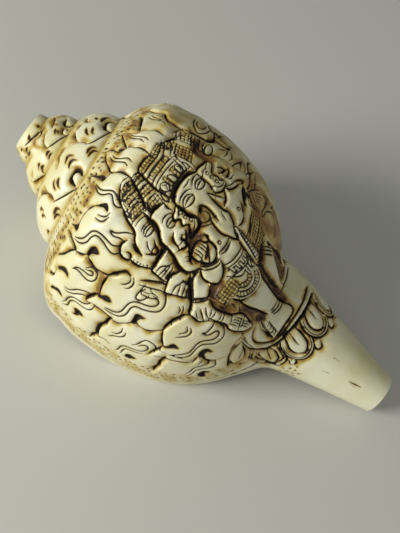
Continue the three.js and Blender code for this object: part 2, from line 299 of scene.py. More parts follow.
hollow("pit", """
    39.6,79.2 40.8,81.5 42,83 43.2,82.3 44,80.6 42.3,81 41,80.3;
    36.3,62.2 37.5,64 38.3,66 39.1,64.5 38.8,63 38,63.2;
    47.3,60 47,62.5 47.3,64.5 48.6,65.3 50.5,63.8 49.6,62.9 48.6,62 48,60;
    59,49.5 60.5,49.9 61.5,51 62.8,51.4 64.6,50 63,49 61,48.7 59.5,48.3;
    74.2,52.2 75,53.2 77.8,53 76.5,51.6 76.2,49.5 76.8,48.5 75,47.2 74.6,49.5;
    90,44.6 91.3,45.6 91.8,47.2 92.8,48.2 95,46.8 93.6,46 92.4,45 90.6,44.2;
    103,51 104.2,51.8 106.3,50.3 104.8,49.8 104.6,48.2 105,46.5 106,45 104.2,44.8 103,46.5 102.6,49;
    41.3,41 42.3,43.5 43.7,45.8 45,46 46.6,44.3 44.8,44.2 43.2,43 42,41;
    43.8,26 44,29 45.2,31.3 46.3,33 47.5,33.2 49,31.8 47,31.6 45.6,30.2 44.6,28.5;
    55.7,31.8 56.3,33 58,33.5 59.8,32.5 58.3,31.3 57.8,29.5 56.4,28.3 56.8,30;
    81.8,25 82,27.5 83.3,28.3 85.3,27.4 84.3,25.8 83.6,24.8;
    109,28.5 109.3,30.8 110.2,31.6 112.2,30.3 111,29.6 111.5,27 112.4,24.2 111,24.2 109.6,26.3
""")
# Amber wedge between the flames: stain, and painted shade between them
hollow("stained", """
    50,58.5 53,57.8 57.5,59.2 58.2,56 58,53 59.3,50.3 58.5,49.2 57,52 56.3,55 54.5,56.5 51,57.3 47.5,58.5
""")
# Waves on the flames beside the figure, from the top of the group down to the lip
cut("engraved", """
    40,60.8 41.5,62.3 42.8,64.5 43.3,67 43.8,69.5 45.2,71 47.5,71.4 50,71 52.5,70.8 54.2,72 55.2,73.5;
    40.2,59.8 42,60.6 43.6,62.3 44.6,64.5 44.8,67 45.5,69 47,69.7 49.5,69.2 52,68.2 54.5,68.1 56.3,70
    57.5,70.2;
    56,79.6 54.5,79.2 53,78 51.8,76.6 50.5,75.5 49.3,75.3 49.1,74.6 50.3,74.1 51.7,74.4 53.2,75.1 55.3,75;
    42.2,76.9 43.5,77.5 44.7,78.7 45.1,80.8;
    42,75 43.8,75.2 45,76.5 45.7,79;
    46.3,49.8 47,51.7 48.5,52.6 50.5,52.8 52.4,53.2 53.4,54.2 52.7,55.3 51.4,54.8 50.3,54;
    50.1,55 51.2,56.5 52.8,57 54.5,56 55.1,54 54.6,52 53.2,50.7 51.2,50.5 49.3,51 47.8,51 46.4,50;
    57.3,45.6 55,45.2 53.2,43.8 51.8,42 50.8,40 49.5,38.8 47.7,38.3;
    56.5,43 54.8,42.6 53,40.5 51.8,38.6 50.3,37.4 48.3,37.2;
    59,42 58.5,40.8 57,39.2 55,38.2 53,37.2 51.8,35.5 51.3,33 51.3,31 50.7,29.5;
    60.8,42.3 60.8,40.3 59.8,38.4 57.7,37.2 55,36.3 53.3,35 52.6,33 52.8,30.5 52.5,28.8 51.5,27.8;
    76.5,68 78.5,67 79.8,65 80.5,62.5 80.3,60 79.3,58.5 77.5,57.3 75,56.3 73,55.8 71.8,54.7 71.4,53
    71.5,50.5 71.2,48.5 70.2,46.8 68.7,45.7 66.5,45.2 64.5,45.3;
    75.2,64.1 77,63.8 78.2,62.6 78,61 76.8,59.6 75,58.8 72.5,58 70.8,56.8 69.9,55 69.6,52.5 69.5,50
    68.8,48 67.2,46.7 65.5,46.3 64.2,46;
    64.6,65 65.3,63.5 65,61.8 63.9,60.5 63,60;
    65.6,65.4 66.6,63.8 66.8,62 66.3,60.4 65.3,59.7;
    84.8,66.3 86,65 86.2,63;
    86,67.3 87,65.5 87.3,63.8;
    81,36.3 82,38 82.5,40.5 83.5,42.8 85,43.3 87,42.8 88.3,41.3 88.7,39.5 88.3,36;
    83,37.7 84,39.5 85.3,40 86.3,38.8 86.2,36.8 85,35 83,33.8 80.5,33.2 78.7,32.2 78,30.2 78,27.5 77.7,26;
    86,34 84,32.5 81.5,31.8 79.9,30.5 79.6,28.5 79.8,26;
    74,41.8 74.4,40 74,38 73.2,36.8 72,36.5;
    76,40.5 76.3,38.5 75.3,36.5 73.2,34.6 71.8,32.6;
    99.5,68 99.6,65 99.4,62 99.2,60.8 98.3,59.9 100,59.7 101,61 101.6,63 102.5,64 103.5,63 103.8,60.5
    103,58.2 101.3,56.7 100,55.2 99.4,52.5 99.5,49 99.3,46.5 98,44.3 96,42.2 94.2,40.8;
    101.5,67.8 103.5,66.8 105,64.5 105.8,61.5 105.6,58.5 104.8,56.2 103,55 101.4,53.8 100.6,51.5
    100.5,48 100.5,45 99.8,43 98,41.7 95.6,40.7;
    92,59.6 93,58 92.9,56.5 91.6,55.3;
    93.4,60 94.6,57.8 94.2,55.2 93,53.8 91.3,52.3;
    110.3,43.2 111,41 111.7,38.5 111.2,36.2 109.8,35 108,34.2 107,32.5 107,29.5 106.6,27 106,25.5;
    109,41.8 109,39.8 107.8,38 106.3,36.5 105.6,34.5 105.6,31 105,28;
    106.2,41.5 105.8,39
""")
# Flames between the crowns and the suture, smaller because the shoulder turns away there
cut("outline", """
    36,90.3 34,90.6 32.3,90.2 31.5,89 31.6,87.5 33,84;
    43.5,98.5 41,98.7 39,98.2 37.5,97 36.5,95.2 36.2,93 36.2,91;
    33.6,108.2 32.5,109.3 31,109.3 30.3,108.2;
    30.4,107.8 31,105 32,102 33.3,99.3 35,97.5 36.5,96;
    43.5,112.2 42,113.3 40,113.7 38,113.5 36.2,112.8 35.4,111 34.6,108.2;
    31,123.8 31.8,120 33,117 34,114.5 35.3,112.5;
    43.3,126 41,126.8 39.5,127 37.5,126 36,124.5 35.5,123 34,123 32.5,124 31,124.2;
    34,148 36.5,145 39,144.5 40,141 41.5,138.6 43.5,138 46,137.4 48.5,137.4 50,138.2 54,139 57,139.7
    58.6,141 59.6,143.4 59.3,146.5 58.8,150 58.4,156;
    59.8,145.5 61,145.6 64,145.9 66,146.8 67,148.6
""")
cut("deep", "32,143 33.2,138 34,133 34.6,129 35.3,126")
cut("engraved", """
    49.8,153 49.6,149.5 50,146.4 50.9,143.4 52.4,141.5 54,141.6 55.4,143.3 56.1,146 56.4,149 56.6,152;
    54.5,151.6 54.5,149 54,146.2 53.2,144.8 51.9,145.6 51,148 50.8,151;
    36,139 37.3,137.3 39,136.5 41,136.8 43,135;
    35.3,137.5 36.8,135.6 38.8,135.2 40.5,135.2 41.7,133.8;
    33.5,105.6 34.5,104.4 36,104.5 37.3,105.6 38.5,106.2 40,105.4;
    33,104.2 34.3,102.4 35.5,102.3 37,103 38.5,103.5 39.7,102.6;
    34.3,121.4 35,120.5 37,120.3 39,120.5 40.3,119.4;
    34,120.3 34.8,119 36.2,118.6 37.7,118.8 39.4,117.5;
    35,87 36.5,86.3 38,86.6 39.5,88 41.3,89.2 43,88.4 44.5,87.5 46,87.3;
    35,86 36.5,84.6 38,84.3 39.3,85.3 40.5,87 41.7,87.4 43,86 44.3,84.8 46,84.7 47.5,85.6
""")
hollow("pit", """
    32.6,91 34,92.4 36,92.8 36.3,91.2 34,91.2;
    33.4,108.6 34,110.4 35.4,111.4 35.2,109.6 34.4,108.2
""")

# The figure: a dancing, elephant-headed figure with five heads and many arms, a common subject
# of this craft. Its middle head stands in front, two look left and two look right.
cut("deep", "60.8,118 59.3,115.5 58.8,112.5 58.7,109 59,105.5 59.9,102.8 61.2,100.8")
cut("outline", """
    74.5,116.7 73,115.9 71,114.6 68.8,113.2;
    88,106 86.5,106.6 84.6,108 83.6,109.4 82.5,110.6 80.5,112 79,112.9 77,112 74,112 71,112.4
    68.8,113;
    74.8,105 76.5,104.2 78.5,103.6 81,103.2 83,103.8 84.5,104.6 86,105.3 88,106;
    68.7,106.2 69.5,107.3 71.5,108.2 74,108 76,107.3 77.5,106.7
""")
cut("engraved", """
    58,118 57.3,115 57.2,110 57.6,105.5 58.6,102.5 60.3,100.2;
    64.3,111.3 63.2,112.7 62.8,114.5 63.2,116.5 64,117.5 65.5,117 66,115.5 66.1,113.8 65.5,112
    64.3,111.3;
    64.7,111.8 64.2,113.6 64.1,115.6 64.3,117.2;
    61.6,117.8 61.3,115.5 61.6,113.3 62.6,111.3;
    64.5,108.5 63.3,107 62.9,105 63.3,103 64.5,101.5;
    64.5,108.5 65.8,107.5 66.3,105.5 66,103.5 65.2,101.5;
    64.7,108 64.3,106.4 64.3,104.4 64.7,102.4;
    62.8,109.6 62,108 61.7,105.5 61.9,103.3 62.5,102;
    71,105.2 72,106 73.5,106 74.6,105 74.7,103.3 74,101.8 73,100.8;
    73.5,99 75,101 76.3,103.5;
    68.7,106 69.3,105 70,103.8 70.5,102.8
""")
cut("fine", """
    60.6,108 60.7,111 60.3,112.5;
    76.5,110.3 78,109.6 79.7,109;
    76,107.2 77.5,106.6
""")
hollow("pit", "69.3,106.6 70.3,105.8 70.8,103.6 69.6,104.8")
# Scalloped ears of the middle head, each with three drilled rings
EAR_RING = 0.65
cut("outline", """
    70,115.8 70.8,116.3 72,118 72.7,120 72.6,122.8 72,124.8 71,124.6 69.5,123 68.5,123.7 66.8,122.8
    65.6,123.2 65,125.2 64,127.6 62.8,128.3 61.6,126.5 61.4,124.5 60.8,121 61,118;
    62.5,118 64,118.3 66,118.2 68,117.8 69.5,116.8 70.6,116;
    73,120.8 74.5,119.5 75.8,117 76.5,114;
    62,99.7 62.8,98 63.3,96 64.8,94.5 65.5,96 66.5,96.5 67.5,95.5 68.3,95 69.2,96.3 70,97 71,96 72,94.5
    73,93.3 73.5,93.6 73.4,96 73.2,98.3 72,100.2 70.5,101.2 69,101 67,100 65,100.4 63,100.4
""")
cut("slot", "61,100.6 63,100.3 65.5,100.4 68,100 70.5,101.5 72.5,100.5 73.4,98 73.6,95 73.7,93")
cut("fine", """
    63,123 62.8,121 63.2,119.5 63.8,118.5;
    71.3,124 71.4,121 70.5,119 69,118;
    62,126.5 62.6,124 63,122.5;
    63.6,99.4 64,98 65,96.8;
    70.2,100 71.5,98 72.8,94.8
""")
for t, degrees in ((64.5, 121.3), (66.6, 121), (69, 121), (64.8, 98.6), (67.1, 98.3), (69.3, 99)):
    ring("fine", t, degrees, EAR_RING)
# The two heads on the left, with closed eyes, small tusks and curled trunks
cut("outline", """
    62,97.5 60,97 58,97.8;
    67.3,90 68,88.6 69.3,87.5 70.8,87 72,86.5;
    72.3,85.7 72.8,87 73.5,88.5 73,90 71.8,90.2 70.5,90 70,91.5;
    79,84.5 78,84.8 77,86 76,87.5 75,88.8 74,90 72.5,91 71.3,92.5 70,94;
    63.3,83.3 64.5,81.8 65.8,81.3 66.8,80.3 67,79 66,78 65,77.2 64,76.5;
    48,85.5 50,83.7 52.5,82.5 55,81.5 56.5,80.3 57.3,78.8 58.3,77.5 59.7,76.5 61.3,75.8 62.8,75.3;
    55.5,76 54.8,74 55.2,72 56.3,70.3 58,69.6 59.8,70 60.3,71 59.5,72.3 58.3,72.5 57.8,71.9;
    60.3,71 62,70.6 64,70.7 66,71.5 67.5,72.5 68.5,73.5
""")
cut("deep", """
    55,89.5 57,89 60,88.9 61.7,88 63,86.8 64.5,85 66,84 68.5,83.6 71,83 73,82.3 75,81 77,80.3 79,80.2
    80.5,81 81.5,82.5 82,84.5;
    68.5,84 68.3,80 68.7,76 69,73
""")
cut("slot", "58,76.3 60,75.5 62.8,74.9; 80.2,76.6 82,76.5 83.7,76.2")
cut("engraved", """
    64,90.5 63,92 62.8,94 63.3,95.3;
    64,90.5 65.2,91 65.8,92.8 65.5,94.5;
    64.2,91 64,92.8 64.2,94.6;
    62,96 61.3,94 61.3,92 61.8,90.8;
    71.3,90 71.4,88.5 71.2,87.3;
    59.5,82 58.4,83.5 58.2,85.5 58.7,87.3 59.8,87.7 60.7,86.5 60.9,84.3 60.3,82.5 59.5,82;
    59.7,82.4 59.3,84.2 59.3,86 59.6,87.5;
    57.5,87 57.2,85 57.6,83;
    61.5,81 62.3,79.8 63.5,78.8 64.7,78.5;
    64.7,81.5 64.8,79 65.2,77.8
""")
hollow("pit", """
    66.9,82 68.3,82.6 68.6,79 67.6,77 67.5,79.5
""")
# Wrinkles under the two trunks. The first trunk bends away, so its wrinkles follow a curve.
WRINKLES = 7
for i in range(WRINKLES):
    t = 60.6 + i * 1.25
    bend = 0.05 * i * i
    cut_points("fine", [(t, 70.7 + bend), (t - 0.15, 71.8 + bend)])
for i in range(WRINKLES):
    t = 70.8 + i * 1.1
    degrees = 93.1 - i * 1.35
    cut_points("fine", [(t, degrees), (t - 0.6, degrees - 1.1)])
# The two heads on the right
cut("outline", """
    80,131.5 80.2,135 79,138.5 77,139 74.5,138 72,136.4 70,135.9 66,134.8 63,132.7 61,130.8;
    66.3,128.3 67.3,130.2 69.2,130.9 69.5,130 69,127.5 68,125.5;
    69.5,131 70.2,132.8 71,131.5 71.6,129 71.3,127 70.6,126;
    73,121.5 74.5,123.5 75.8,126 76.4,129.8;
    74.6,129.6 75.4,131.6 76.2,133.6 77.3,134.3 77.7,132.8 77.4,130.8
""")
cut("engraved", """
    58.6,136 58.6,133 59.5,130.6 61,130.8 61.8,133 61.3,135.5 60.3,137.8 59.3,138 58.6,136;
    66.5,138 66.7,140.5 66.3,142.5 67,144;
    68.8,138.2 69.2,140.5 68.5,143 67.7,144.5;
    63.3,139 64.5,141 66,142.5;
    60,145 62,144.8 64,145 66,147 66.8,148.5;
    71,136.6 71.2,139 72.2,142 72.8,145.5;
    73.3,145 73.3,142 74.2,139.5;
    74,147 75.5,143 76,141;
    76.5,139.6 77.5,142 77.8,145;
    79,147 78.5,143 79.5,139 80,136.5;
    80.5,146 81,143 82,140 82.5,138 83,136;
    73.3,123.4 74.2,126 74.6,128.8;
    72,126.5 72.8,128.5 72.8,131
""")
cut("deep", "59,156 60.5,154 62.5,152 65,151 67,152.5; 57.6,139 58.3,142.5 59.8,145.5")

# Crowns: tall and domed, cut from the same shell as tiers of small square beads between plain
# double bands.
BAND_WIDTH = 1.5


def shell_frame(t, theta):
    """Place on the shell, its change with t and with theta, and the outward normal."""
    small_t = 0.05
    small_theta = 0.002
    along = (on_shell(t + small_t, theta) - on_shell(t - small_t, theta)) / (2 * small_t)
    across = (on_shell(t, theta + small_theta) - on_shell(t, theta - small_theta)) / (2 * small_theta)
    normal = np.cross(along, across)
    return on_shell(t, theta), along, across, normal / np.linalg.norm(normal, axis=1)[:, None]


def beside(path, distance):
    """The path moved sideways over the surface, to one side where distance is negative."""
    points, along, across, normal = shell_frame(*path.T)
    direction = np.gradient(points, axis=0)
    direction /= np.maximum(np.linalg.norm(direction, axis=1), TINY)[:, None]
    side = np.cross(normal, direction) * np.asarray(distance)[..., None]
    t_shift = (side * along).sum(1) / (along * along).sum(1)
    theta_shift = (side * across).sum(1) / (across * across).sum(1)
    return path + np.stack([t_shift, theta_shift], 1)


def plain_band(text):
    """Raised plain bands between two lines, drawn by their middle."""
    for path in drawn(text):
        middle = smooth_path(path)
        for side in (-1, 1):
            cuts["fine"].append(beside(middle, np.full(len(middle), side * BAND_WIDTH / 2)))


plain_band("""
    51.8,101 51.2,104 51,108 51.1,112 51.5,116 51.9,118;
    47.5,102 47,106 47,110 47.2,114 46.6,117.4 45.6,120.4 45,122.4;
    52.3,117.4 55,116.6 57.5,115.8;
    53.7,118.5 56,119.5 59.5,119.6;
    48.5,124.7 49.7,120.7 51,117.8;
    47.1,133.8 47.9,130.8 49.1,128.3;
    52.6,135.8 53.1,132.8 54.1,130.3 55.1,128.3;
    44.9,103 44.4,100 44.6,98;
    48.6,101.5 47.9,98.5 47.9,95.5 48.2,94;
    52.9,99.5 52.4,97 52,94.5;
    43.7,98.5 42.7,96 42.5,93.5 43.4,91.5;
    46.9,95 46,92 46.1,89.5 46.7,87.5;
    50.7,93.5 49.8,91 49.6,88.6 49.9,86.4;
    55.2,90 54.4,88 54,85.5 54.2,83
""")
cut("engraved", """
    55,138 55.8,134 57,130 58.3,129.8;
    57.3,137 57.5,133 58.5,130.5 59.8,130
""")
cut("deep", "58,97.5 57.2,95 56.8,92.5 57.2,90")
cut("outline", """
    43.5,111.5 43.2,108 43.4,104.8 44.2,102.8;
    44.2,102.8 47,102.4 50,101.6 53,100.9 56,101.2 58.2,101.4;
    43.3,98.5 46,97.2 48,96 50,94.8 52.4,93 54.4,91.4;
    42.2,93.2 43.2,90.4 45,87.8 46.8,86.2 48.6,85.4;
    48.3,131 47.5,128.2 46.5,125.6 45.4,122.5;
    57,139.8 53,139.4 49.5,137.8 47,134.5 46,130.6
""")
BEAD_PITCH = 1.35


def bead_grid(text):
    """Lines both ways between four corners, t,degrees each, which leave square beads."""
    for path in text.split(";"):
        a, b, c, d = pairs(path)
        around = radius_at(a[0], a[1] * DEGREE) * DEGREE
        for left, right, far_right, far_left in ((a, b, c, d), (a, d, c, b)):
            count = max(1, round(np.hypot(*((right - left) * (1, around))) / BEAD_PITCH))
            for share in np.linspace(0, 1, count + 1):
                first = left + (right - left) * share
                last = far_left + (far_right - far_left) * share
                cut_points("grid", [first, (first + last) / 2, last])


bead_grid("""
    43.8,103.8 43.8,111.8 46.4,112.2 46.3,103.2; 43.8,112.4 43.6,120 45.2,120.8 46.6,112.6;
    48.3,102.8 48.3,116 50.2,116 50.2,102.8; 52.8,111 52.9,113.2 56.8,112.8 57,111;
    52.8,105.8 52.8,107.2 57,107.2 57,105.8; 50.6,119.6 49.4,125.2 55.6,127.2 57.4,120.6;
    46.4,118.6 45.6,122.6 47.8,127.2 49.4,120.6; 49.6,128.6 48.4,134.6 52,136.4 54,129.2;
    44.6,98.4 44.4,102.2 47.2,101.8 46.8,96.6; 49,94.6 49.4,101 52,100.2 51.4,94;
    53.2,92.6 53.6,99.2 57.2,98 56.6,91.8; 43.4,91.6 44,97.8 46.2,95.6 45.6,88.6;
    46.8,87.6 47.6,94.6 50.4,93.4 49.6,86.2; 50.6,86.2 51.4,92.8 54.2,90.2 53.4,83.4
""")
# Leaf-shaped jewels that stand plain between the beads
cut("engraved", """
    53.2,103.5 54,105.2 56,105.2 57,103.5 56,101.9 54,101.9 53.2,103.5;
    54.1,103.5 55,104.4 56.1,103.5;
    53.2,114.6 54.2,116 56,115.8 57,114.2 55.8,113 54,113.2 53.2,114.6;
    54.2,114.6 55,115.2 56,114.5;
    53.3,108.2 54.3,109.8 57,110.4 57.8,109.2 57.4,107.9 54.6,107.6 53.3,108.2;
    55,100 56.4,100.9 58,100.6 59.4,99.4 57.4,98.9 55,100;
    51.5,92.5 53,93.4 55,92.6 56.2,91.4 53.8,91.6 51.5,92.5;
    48.5,85 50,85.6 52,84.6 50,84.2 48.5,85
""")

# Hands, arms and what they hold, cut from the shell in low relief: an axe and a fly whisk on the
# left, a club below.
cut("deep", """
    81.3,80 82.5,78 84,75.8 85.5,73.7 87,71.8 88.2,69.8 89.3,67 90,65
""")
cut("slot", "68.2,66.6 70.4,68 72.2,69.1 74.2,70.2 76.2,71.2")
cut("outline", """
    77.8,80 76.5,77 75.5,75 76,72.5 76.8,70 77.3,68.5;
    77,68 79,68.4 81.5,69.5 84,70.7 86,71.8;
    76,97 77,98 78.5,97.6 79.2,96.4 78.3,95 76.5,94.5 76,92 76.3,89.5 76.8,88 77.3,87 80.5,87 81,88;
    80.5,87.3 82,87.5 84,88.8 84.9,91 84.5,93.5 83,95.6 81,96.5 79.2,96;
    88,82.5 89.5,82.8 91,84 91.2,86 90.5,89 89,91.5 87,93;
    82.8,85 84,83.5 85.5,82.3 87.5,82.2 89.3,82.8;
    82.3,85 82.6,82 82.9,79.5 84.5,76.5 86.3,74 87.2,72.3;
    86.8,72.6 88,73.2 89.5,74.5 90.8,76 91,77.5 90.2,79.5 89,82;
    96.5,68.3 99,68.2 102,68.7 104.5,68.3 106,66.5 108,66.2 110,66.8 112,68 113.3,72 112.5,74.5
    110.5,76 108,77.6 106,77.4 104.3,75.5 103,74.3 100,73.8 98,73.4 96,73.6 95,74 93.5,75.3 92,76;
    92.2,69.8 93.5,68.3 95.3,66.3;
    90,65.5 92,65 94,64.4 95.5,65.5 97,66.8 98.3,67.5
""")
cut("engraved", """
    70.2,65.8 70.2,63 70.1,60 70.8,58.7 72.3,59.2 73.4,61 73.7,63;
    68.8,64.7 71.4,65.8 73.4,66.7 75.4,67.6 77.4,68.4;
    71.2,61.9 73.2,62.2 75.4,62.9 76.8,64.2;
    79.6,69.5 79.4,71.2 79.2,72.8 79.7,74.2 80.1,75.4 80.8,76.5 82.2,76.6 84,76.4;
    80.4,74.2 81,72.2 81.6,70;
    81.8,75.6 82.6,73 83.2,70.5;
    83.2,75.9 83.8,73.5 84.6,71.2;
    79.3,94.7 81,93 82.8,91 83.8,89 82.5,88 81,88.3 80.2,90;
    86,94 86,91 85,88.5 83.3,86.5 82,85.8;
    86.8,93 87,90.5 86,87.8 84,85.5 83,85;
    91.3,76.5 90.3,75 88.8,73.2 87.2,71.8;
    91.9,76 91,74 89.5,72.2 88,71.2;
    93,72 94,70.3 95.3,68.8 96.5,68.2;
    91,68 92.2,66.5 93.3,65.5;
    95.2,72.5 95.8,71 96.2,69;
    96.7,73 97.2,71 97,68.8;
    99.2,73 99.8,71 99.9,68.6;
    100.3,73.3 101,71 101.1,69;
    103.2,74.3 104.3,71.5 104.6,69.3;
    106.5,77 107.5,74 108.3,70.5 109,67.8;
    107.5,77.3 108.6,73.5 109.2,70.3
""")
# Fingers of the upper left hand, the axe's blade, and the fingers of the fist at the trunk's tip
cut("outline", "68.2,72.9 69.6,72.3 71.8,72 73.8,71.9 75.6,72.3")
cut("engraved", """
    70.5,73 70.5,74.8 70.9,76.3 72,77.6 72.8,78.6 73.4,80;
    72.6,78 72.3,75.5 72,72.6;
    73.2,78.6 73.3,75.8 73.2,72.6;
    74.2,78.9 74.6,77.2 74.5,72.8;
    75.5,77.6 75.7,75.2 75.6,72.8
""")
cut("fine", """
    71,64.6 70.9,63.4 70.6,62.3;
    72.8,65.8 73.8,65.1 75.4,64.9 76.6,64.8;
    71.4,63.3 72.8,63.8 74.2,64.6
""")
# Fingers of the left hand, and the ribs of the club's head in two rows
for kind, start, middle, end, rise, rows in (
        ("engraved", 76.9, 78.5, 80.2, 0.1, (93.3, 92.1, 90.3, 88.9)),
        ("fine", 104.8, 106.2, 107.6, 0.2, (74.7, 73.1, 71.6, 69.9)),
        ("fine", 108.6, 110, 111.6, 0.2, (74.6, 72.9, 71.1))):
    for degrees in rows:
        cut_points(kind, [(start, degrees), (middle, degrees + rise), (end, degrees)])

# Body and its dress, cut and engraved: a bead cord over the chest, a belly band and hip cloth with
# a meander, and a medallion.
STUD_RADIUS = 0.6
ring("engraved", 81.4, 118, STUD_RADIUS)
ring("engraved", 82.5, 99, STUD_RADIUS)
cut("outline", """
    76,98 78,97.7 79.5,97 81,97.1 82.6,96.2 83.7,95 84.5,94;
    84.5,96 85,98.5 85,101 84.2,103.5;
    99.1,105.5 99,108 97.5,109.5 94,109.9 90,110 86,110.3 83.5,109.8;
    83.6,109.4 87,107.2 90,106 95,105 99.2,104.2;
    78.5,131 80.3,127.5 82,124.8 83.5,123;
    84.9,111.5 85.3,114 84.5,117.5 83,119 81.5,121 80,122
""")
cut("engraved", """
    85.7,103 86.3,100.5 86.4,98 85.6,95.5;
    90.3,105 90.5,101 90.3,97 89.6,94 88.6,92;
    95.3,104 95.6,101 95.4,97 94.6,93.5 93.9,91.5 93.4,90.3;
    80,131 81.5,128 83,125.5;
    81,131.6 82.5,128.6 84,126;
    86,109.2 90,108.1 94,107 98,105.6;
    87,123.5 88.4,119.3 89.6,115 91.2,111;
    86.1,123 87.5,118.5 88.9,114.5 90,111;
    90.8,123.8 92.4,119.3 93.8,114.2 94.8,110.5;
    92.4,89.5 95.2,91.8 96.8,94.8 96.2,97.8;
    93.6,104 95.2,101.6 97.6,100.6 99,103;
    95.4,103.4 97.2,102.4 98.4,100.6;
    95.6,99.4 97.4,98.8 98.8,98.8;
    96.4,97.4 97.8,97.2 99,97.6
""")


KEY_PITCH = 2.1
KEY = [(0, 0.05), (0, 0.95), (0.5, 0.95), (0.5, 0.05), (1, 0.05)]


def meander(start, end, width):
    """Key pattern along a band, (t, degrees) to (t, degrees), width mm to the side in t."""
    start, end = np.array(start, float), np.array(end, float)
    radius = radius_at(start[0], start[1] * DEGREE)
    length = np.hypot(end[0] - start[0], (end[1] - start[1]) * DEGREE * radius)
    keys = max(1, round(length / KEY_PITCH))
    for i in range(keys):
        points = [start + (end - start) * (i + x) / keys + (width * y, 0) for x, y in KEY]
        cut_points("fine", [point for point in points for _ in range(2)])


cut("fine", "91.7,105 91.9,101 91.7,97 90.9,93.5 90,91.3")
meander((92.7, 103.6), (92.6, 97.3), 2.2)
meander((92.6, 97.3), (91.1, 91.2), 2.2)
bead_grid("91.9,111.4 88.2,123.4 90.6,124 94.6,111.2")
meander((95.4, 111), (92.6, 122), 2.4)
# Ticks along the cord from the chest to the hip, whose two edges run together
CORD_TICKS = 11
for i in range(CORD_TICKS):
    t = 86 + i * 1.2
    cut_points("fine", [(t, 109.5 - 0.3 * (t - 85)), (t + 0.2, 110.7 - 0.15 * (t - 85))])
# Medallion on the hip: five rings, with beads between the second and third and inside the fourth
MEDALLION = """
    99,82.3 100.4,82.6 102.2,83.6 103.9,86.3 105,90 105.4,93.8 105.3,97.4 104.6,100.6 103.1,102.9 100,104;
    99.4,84.4 101,85.1 102.8,87.1 103.8,90.3 104.2,93.3 104.1,96.8 103.5,99.6 102.3,101.3 100,102.1;
    98.8,87 99.8,87.3 101.2,88.9 102.1,90.9 102.5,93 102.4,95.3 101.9,97.3 101.1,99 99.8,100.1;
    98.6,88.6 99.9,90 100.8,92.2 101,94.7 100.7,96.6 100,97.7 99,98.2;
    98.2,91.1 99,92.4 99.3,94 99.1,95.2 98.4,95.9
"""
medallion = [smooth_path(path) for path in drawn(MEDALLION)]
cuts["outline"].append(medallion[0])
cuts["engraved"].extend(medallion[1:])
TICK_ENDS = (0.04, 0.96)
for inner, outer, ticks in ((2, 1, 12), (4, 3, 6)):
    for share in np.linspace(*TICK_ENDS, ticks):
        from_ring, to_ring = [medallion[i][round(share * (len(medallion[i]) - 1))] for i in (inner, outer)]
        cuts["grid"].append(smooth_path(np.stack([from_ring, (from_ring + to_ring) / 2, to_ring])))
cut("engraved", """
    100.5,79.8 101.5,79.6 102.6,79;
    103,81.5 104,79.5 105,78
""")
bead_grid("93.6,77.5 93.6,90 98.9,90 98.9,77.5")

# Legs: the raised leg with its anklets and its foot on the lotus, the ground beside them, cut down
# and stained brown, and the other leg and the cloth's hem that cross it.
cut("deep", """
    120,106.2 118,105.6 115,104.8 113,103.8 110,102.8 106,102.5 104,104 100,104.5;
    115.6,80.2 117,76.8 118.5,74 120,71.2 121.5,69.4 122.8,67.8 124.4,66.6
""")
cut("outline", """
    101.5,83.7 104,83 107,83 110,84 113,84.7 115.5,85.2 116.5,85.8;
    125.1,68 125.2,74 125.1,80 124.9,90 124.9,97 124.8,102 124.3,106 123,108.4 121.5,108 120,106.2
""")
cut("engraved", """
    116,104.8 116.7,101 116.8,97 116.7,93 116.3,90;
    117,105.3 118,101 118.2,97 118,93 117.3,89;
    118.6,105 119.3,101 119.4,97 119.2,93 118.5,89;
    118.8,80.4 120,78.9 121.4,77.4 122.8,76.4 124,75.6
""")
cut("fine", """
    118.9,79.6 119.3,77.6 119.4,75.4;
    120.3,78.6 120.8,76.6 121.1,74.2 121,72.4;
    121.6,77.4 122.3,75 122.6,72.6 122.4,71;
    122.9,76.4 123.7,74.2 123.9,71.8 123.7,70.4
""")
# Ground round the fist, above the club and between the figure, its cloth and the lotus
hollow("ground", """
    69.8,97 72.2,96 75.4,96.2 76.4,94.4 75.8,91.5 76.4,89.2 77.6,87 78,85.4 76,87.6 73.4,91.4 71,94.4;
    90,82.2 91.4,83.4 92.2,85.6 93,82 93.4,79.4 93.8,77 92.4,76.8 91.2,78.6 90.2,80.4;
    53.6,132.2 54.6,134.8 56.4,134.4 56.6,129.6 61,130 63.8,130.8 62.2,127.8 58.6,126.2 55.8,127;
    93.6,75 94.4,76.8 95.8,76.2 98.6,76.8 100.2,80.2 102,81.2 103,78.5 102,75.4 99.2,74.6 96.4,74.4;
    70.6,104.3 71.6,101.6 73.6,99.4 74,101 72.4,103;
    100,105.6 102,104.6 105,103.8 109,103.9 113,105 117,106.4 119.8,108.6 118.4,111 115.4,112 112.4,109.6
    109,107.7 105,106.4 102,107.4 100,110.4 98.4,114 97.2,114 98.4,109;
    101.8,121.8 104.8,120.4 109,120.8 112,121.6 113.4,124 113,130 112.4,138 111.4,140 109,134 105.8,127.4;
    104.6,81.6 108,81.8 112,82.8 115,83.6 116.2,80.4 114.2,76.6 112,76.6 109.4,79 106.8,79.6 104.8,78.6
""")
hollow("comma", "79,95.6 80.8,94.2 82,91.8 82.2,89.2 81,90.6 79.9,93.6")
